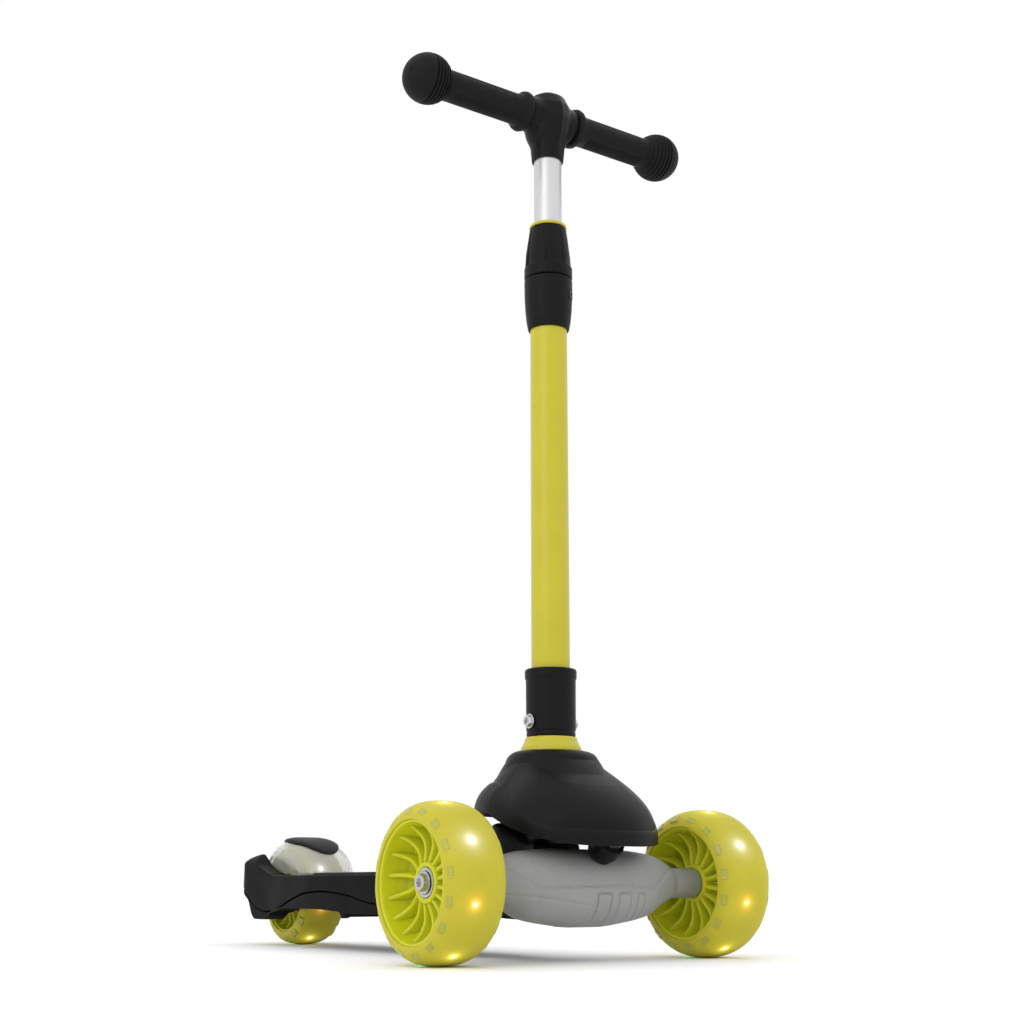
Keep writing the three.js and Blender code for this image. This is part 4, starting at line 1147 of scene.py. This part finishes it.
def deck_parts(low_of, high_of, tuck=0.0):
    """Both halves of a deck moulding, between a lower and an upper height."""
    stations = deck_stations()
    parts = []
    for side in (1, -1):
        rows = []
        for x in stations:
            inner = float(smooth_run(SLOT, x)) if x <= SLOT_END else 0.0
            outer = float(smooth_run(SIDE, x)) - tuck
            ring = half_section(x, low_of(x), high_of, inner, outer)
            rows.append([(x, side * y, z) for y, z in ring])
        parts.append(capped(rows))
    return parts


def parting_at(x):
    return float(smooth_run(PARTING, x))


# Both deck mouldings use the deck plastic, whose darker colour is painted shade.
piece("deck_top_moulding", deck_parts(lambda x: parting_at(x) + PARTING_GAP, shell_top), "deck", DECK_BLACK_PAINTED_SHADE,
      ["deck_shell", "axle_cap_left", "axle_cap_right"], sharp=38)
lower = deck_parts(lambda x: float(smooth_run(UNDERSIDE, x)), lambda x, y: parting_at(x) - PARTING_GAP,
                   tuck=PARTING_GAP)
piece("deck_lower_moulding", lower, "deck", DECK_BLACK_PAINTED_SHADE, ["deck_cover"], sharp=38)


def mat_part():
    """Grip mat: a bordered sheet with raised ribs across it, each broken into short bars."""
    low, high, _ = box("grip_pad")
    x0, x1, half = low[0], high[0], high[1]
    corner, pitch, cell = 18, 8, 15
    xs = np.linspace(x0, x1, 420)
    ys = np.linspace(-1, 1, 150)
    rows = []
    for x in xs:
        away = min(x - x0, x1 - x)
        inset = corner - math.sqrt(max(0, corner ** 2 - (corner - away) ** 2)) if away < corner else 0
        wide = half - inset
        row = []
        for t in ys:
            y = t * wide
            border = min(away, half - abs(y), wide - abs(y))
            inside = float(step(3.0, 4.0, border))
            shift = 0.5 * (int((x - x0) // pitch) % 2)
            along = hump((x - x0) % pitch, pitch / 2, 1.5, 0.6)
            bar = along * hump(((y / cell + shift) % 1 - 0.5) * cell, 0, 5.6, 0.7)
            edge = float(step(0, 0.8, border))
            z = high[2] - 0.9 + 0.9 * ((1 - inside) * edge + inside * float(bar)) - 1.0 * (1 - edge)
            row.append((x, y, z))
        rows.append(row)
    return grid(rows, closed_u=False)


piece("grip_mat", [mat_part()], "deck", MAT, ["grip_pad"], sharp=40,
      modifiers=[("SOLIDIFY", {"thickness": 1.1 * MM, "offset": -1})])

for i, (x, y) in enumerate(((40, 38), (40, -38), (118, 34), (118, -34))):
    head = screw_head(4.0, 0.9, 10, "cross", across=0.62, shank=2)
    flipped = head[0] * np.array([1, 1, -1]) + np.array([x, y, DECK_BOTTOM + 1.0])
    piece(f"underside_screw_{i + 1}", [(flipped, head[1])], "deck", STEEL, [f"cover_screw_{i + 1}"])


def neck_shape(points):
    """Shoulders that widen and raise the neck where it runs into the deck, well behind the beam."""
    x, y, z = points.T
    out = points.copy()
    rear = (1 - step(168, 198, x)) * step(14, 22, np.abs(y))
    out[:, 1] = y * (1 + 0.45 * rear)
    out[:, 2] = z + 16 * rear * step(50, 85, z)
    return out


softened("neck_frame", "neck_moulding", BLACK_FINE, voxel=1.0, smooth=10, shape=neck_shape)


# ---- Brake ---------------------------------------------------------------------------------

ARCH_R = 53.0
ARCH_HALF = 27.0
ARCH_SWELL = [(14, 1.2), (22, 1.2), (33, 1.17), (45, 1.11), (60, 1.05), (75, 1.01), (90, 1), (160, 1)]


def arch_reach(angle):
    """The crown's distance from the axle: an arch that squares up a little towards the front."""
    return ARCH_R * float(smooth_run(ARCH_SWELL, math.degrees(angle)))


def arch_point(angle, across, grow):
    """A point on the fender: angle round the axle, across from 0 to pi over it."""
    s = math.sin(across)
    y = (ARCH_HALF - 2 + grow) * math.copysign(abs(math.cos(across)) ** 0.55, math.cos(across))
    return arch_reach(angle) + grow - 15 * (1 - s ** 0.7), y


def fender_part():
    """A thin clear dome with straight side walls, its outer and inner skins joined at every edge."""
    skins = []
    across = np.linspace(0, math.pi, 49)
    for grow in (2.0, 0.0):
        rows = []
        for angle in np.radians(np.linspace(160, 14, 70)):
            sides = [arch_point(angle, a, grow) for a in across]
            (first, y0), (last, y1) = sides[0], sides[-1]
            sides = [(first - d, y0) for d in (18, 12, 6)] + sides + [(last - d, y1) for d in (6, 12, 18)]
            c, s = math.cos(angle), math.sin(angle)
            row = np.array([(REAR_X + r * c, y, REAR_R + r * s) for r, y in sides])
            over_deck = row[:, 0] > REAR_X + 50
            row[:, 2] = np.where(over_deck, np.maximum(row[:, 2], DECK_TOP + 0.6 + 0.7 * grow), row[:, 2])
            rows.append(row)
        skins.append(np.array(rows))
    outer, inner = skins
    loop = np.concatenate([outer, inner[:, ::-1]], 1)
    points, faces = grid(loop)
    count = loop.shape[1]
    for start in (0, (len(loop) - 1) * count):
        for k in range(count // 2 - 1):
            faces.append((start + k, start + k + 1, start + count - 2 - k, start + count - 1 - k))
    return points, faces


def lip_part():
    """The fender's rounded tongue that lies on the deck ahead of the wheel."""
    start, end = REAR_X + 44, REAR_X + 71
    rows = []
    for height, inset in ((0.5, 0.4), (0.7, 0.1), (1.5, 0), (2.2, 0.2), (2.5, 0.6)):
        ring = []
        for t in np.linspace(-math.pi / 2, math.pi / 2, 49):
            reach = (end - start - inset) * max(0.0, math.cos(t)) ** 0.9
            ring.append((start + reach, (ARCH_HALF - inset) * math.sin(t), DECK_TOP + height))
        rows.append(ring)
    return capped(rows)


def hinge_parts():
    """The knuckle round the brake pin and the arm that joins it to the tongue."""
    x, _, z = box("brake_pin")[2]
    knuckle = lathe(filleted([(1.8, -14), (3.3, -14), (3.3, 14), (1.8, 14)], 0.5), 48)
    arm = [
        [(at - t, -13, up), (at + t, -13, up), (at + t, 13, up), (at - t, 13, up)]
        for at, up, t in ((x - 0.5, z + 2.2, 1.2), (x - 2, z + 5.5, 1.2), (x - 4.5, DECK_TOP + 1.6, 1.0))
    ]
    return [along_y(knuckle, x, z), capped(arm)]


piece("fender_dome", [fender_part(), lip_part(), *hinge_parts()], "brake", CLEAR, ["fender"],
      sharp=45)


def pad_part():
    """The black foot panel: a leaf on the crown of the fender."""
    low, high, middle = box("fender_pad")
    long_half = (high[0] - low[0]) / 2 + 1
    centre = middle[0] + 5
    rows = []
    for share, grow in ((0, 4.1), (0.25, 4.1), (0.5, 4.1), (0.7, 4.1), (0.85, 4.05), (0.94, 3.9),
                        (0.985, 3.6), (1, 3.2), (1, 2.3), (0.97, 2.2), (0.6, 2.2), (0, 2.2)):
        row = []
        for t in np.linspace(0, 2 * math.pi, 97)[:-1]:
            x = centre + share * long_half * math.cos(t)
            y = share * 24.0 * math.sin(t)
            over = 15 * (1 - (1 - (abs(y) / (ARCH_HALF + grow - 2)) ** 3.64) ** 0.35)
            off = x - REAR_X
            z = math.sqrt(max(1.0, (ARCH_R + grow - over) ** 2 - off ** 2))
            for _ in range(6):
                rise = arch_reach(math.atan2(z, off)) + grow - over
                z = math.sqrt(max(1.0, rise ** 2 - off ** 2))
            row.append((x, y, REAR_R + z))
        rows.append(row)
    return grid(rows)


piece("foot_panel", [pad_part()], "brake", BLACK, ["fender_pad"], sharp=35)


# ---- Hidden hardware keeps its CAD shape and gets a finished material ---------------------

HARDWARE = [
    (STEEL, ["kingpin_bolt", "kingpin_nut", "deck_plate", "magnet_core_rear", "rear_axle", "rear_axle_nut",
             "rear_spacer_left", "rear_spacer_right", "brake_pin", "magnet_core_left", "magnet_core_right"]),
    (BLACK_SOFT, ["clamp_collet", "tube_guide", "steer_bush_lower", "steer_bush_upper"]),
]
for material, names in HARDWARE:
    for name in names:
        for slot in frame["nodes"][name].material_slots:
            slot.material = material


# ---- Floor, light and camera ---------------------------------------------------------------


def stage_material():
    """Plain pale floor."""
    n = Nodes("floor")
    shade = n.mix(n.noise(3, 2), (0.94, 0.94, 0.94), (0.96, 0.96, 0.96))
    n.set(Base_Color=shade, Roughness=0.7, Specular_IOR_Level=0.1)
    return n.material


FLOOR_HALF = 30  # metres
floor_corners = [(x * FLOOR_HALF, y * FLOOR_HALF, 0) for x, y in ((-1, -1), (1, -1), (1, 1), (-1, 1))]
floor_mesh = bpy.data.meshes.new("floor")
floor_mesh.from_pydata(floor_corners, [], [(0, 1, 2, 3)])
floor_mesh.materials.append(stage_material())
floor = bpy.data.objects.new("floor", floor_mesh)
bpy.context.scene.collection.objects.link(floor)

world = bpy.data.worlds.new("studio")
world.use_nodes = True
world.node_tree.nodes["Background"].inputs[0].default_value = (1, 1, 1, 1)
world.node_tree.nodes["Background"].inputs[1].default_value = 1.0
bpy.context.scene.world = world
bpy.context.scene.view_settings.view_transform = "Standard"


def softbox(name, place, target, size, power):
    """A large square light, in metres and watts, aimed at a place."""
    data = bpy.data.lights.new(name, "AREA")
    data.shape = "RECTANGLE"
    data.size, data.size_y = size
    data.energy = power
    lamp = bpy.data.objects.new(name, data)
    lamp.location = place
    lamp.rotation_euler = (Vector(target) - Vector(place)).to_track_quat("-Z", "Y").to_euler()
    bpy.context.scene.collection.objects.link(lamp)


softbox("key", (0.9, -1.9, 1.3), (0.1, 0, 0.35), (1.4, 1.4), 8)
overhead = bpy.data.objects.new("overhead", bpy.data.lights.new("overhead", "SUN"))
overhead.data.energy = 0.5
overhead.data.angle = math.radians(120)
bpy.context.scene.collection.objects.link(overhead)

CAMERA = {"place": (1.219882, -0.758761, 0.056830), "turn": 35.153, "rise": 13.820, "lens": 53.587}
turn, rise = math.radians(CAMERA["turn"]), math.radians(CAMERA["rise"])
ahead = Vector((-math.cos(turn) * math.cos(rise), math.sin(turn) * math.cos(rise), math.sin(rise)))
right = Vector((math.sin(turn), math.cos(turn), 0))
up = right.cross(ahead)
camera_data = bpy.data.cameras.new("camera")
camera_data.lens = CAMERA["lens"]
camera_data.sensor_width = 36
camera_data.clip_start, camera_data.clip_end = 0.05, 60
camera = bpy.data.objects.new("camera", camera_data)
camera.matrix_world = Matrix.Translation(CAMERA["place"]) @ Matrix((right, up, -ahead)).transposed().to_4x4()
bpy.context.scene.collection.objects.link(camera)
bpy.context.scene.camera = camera
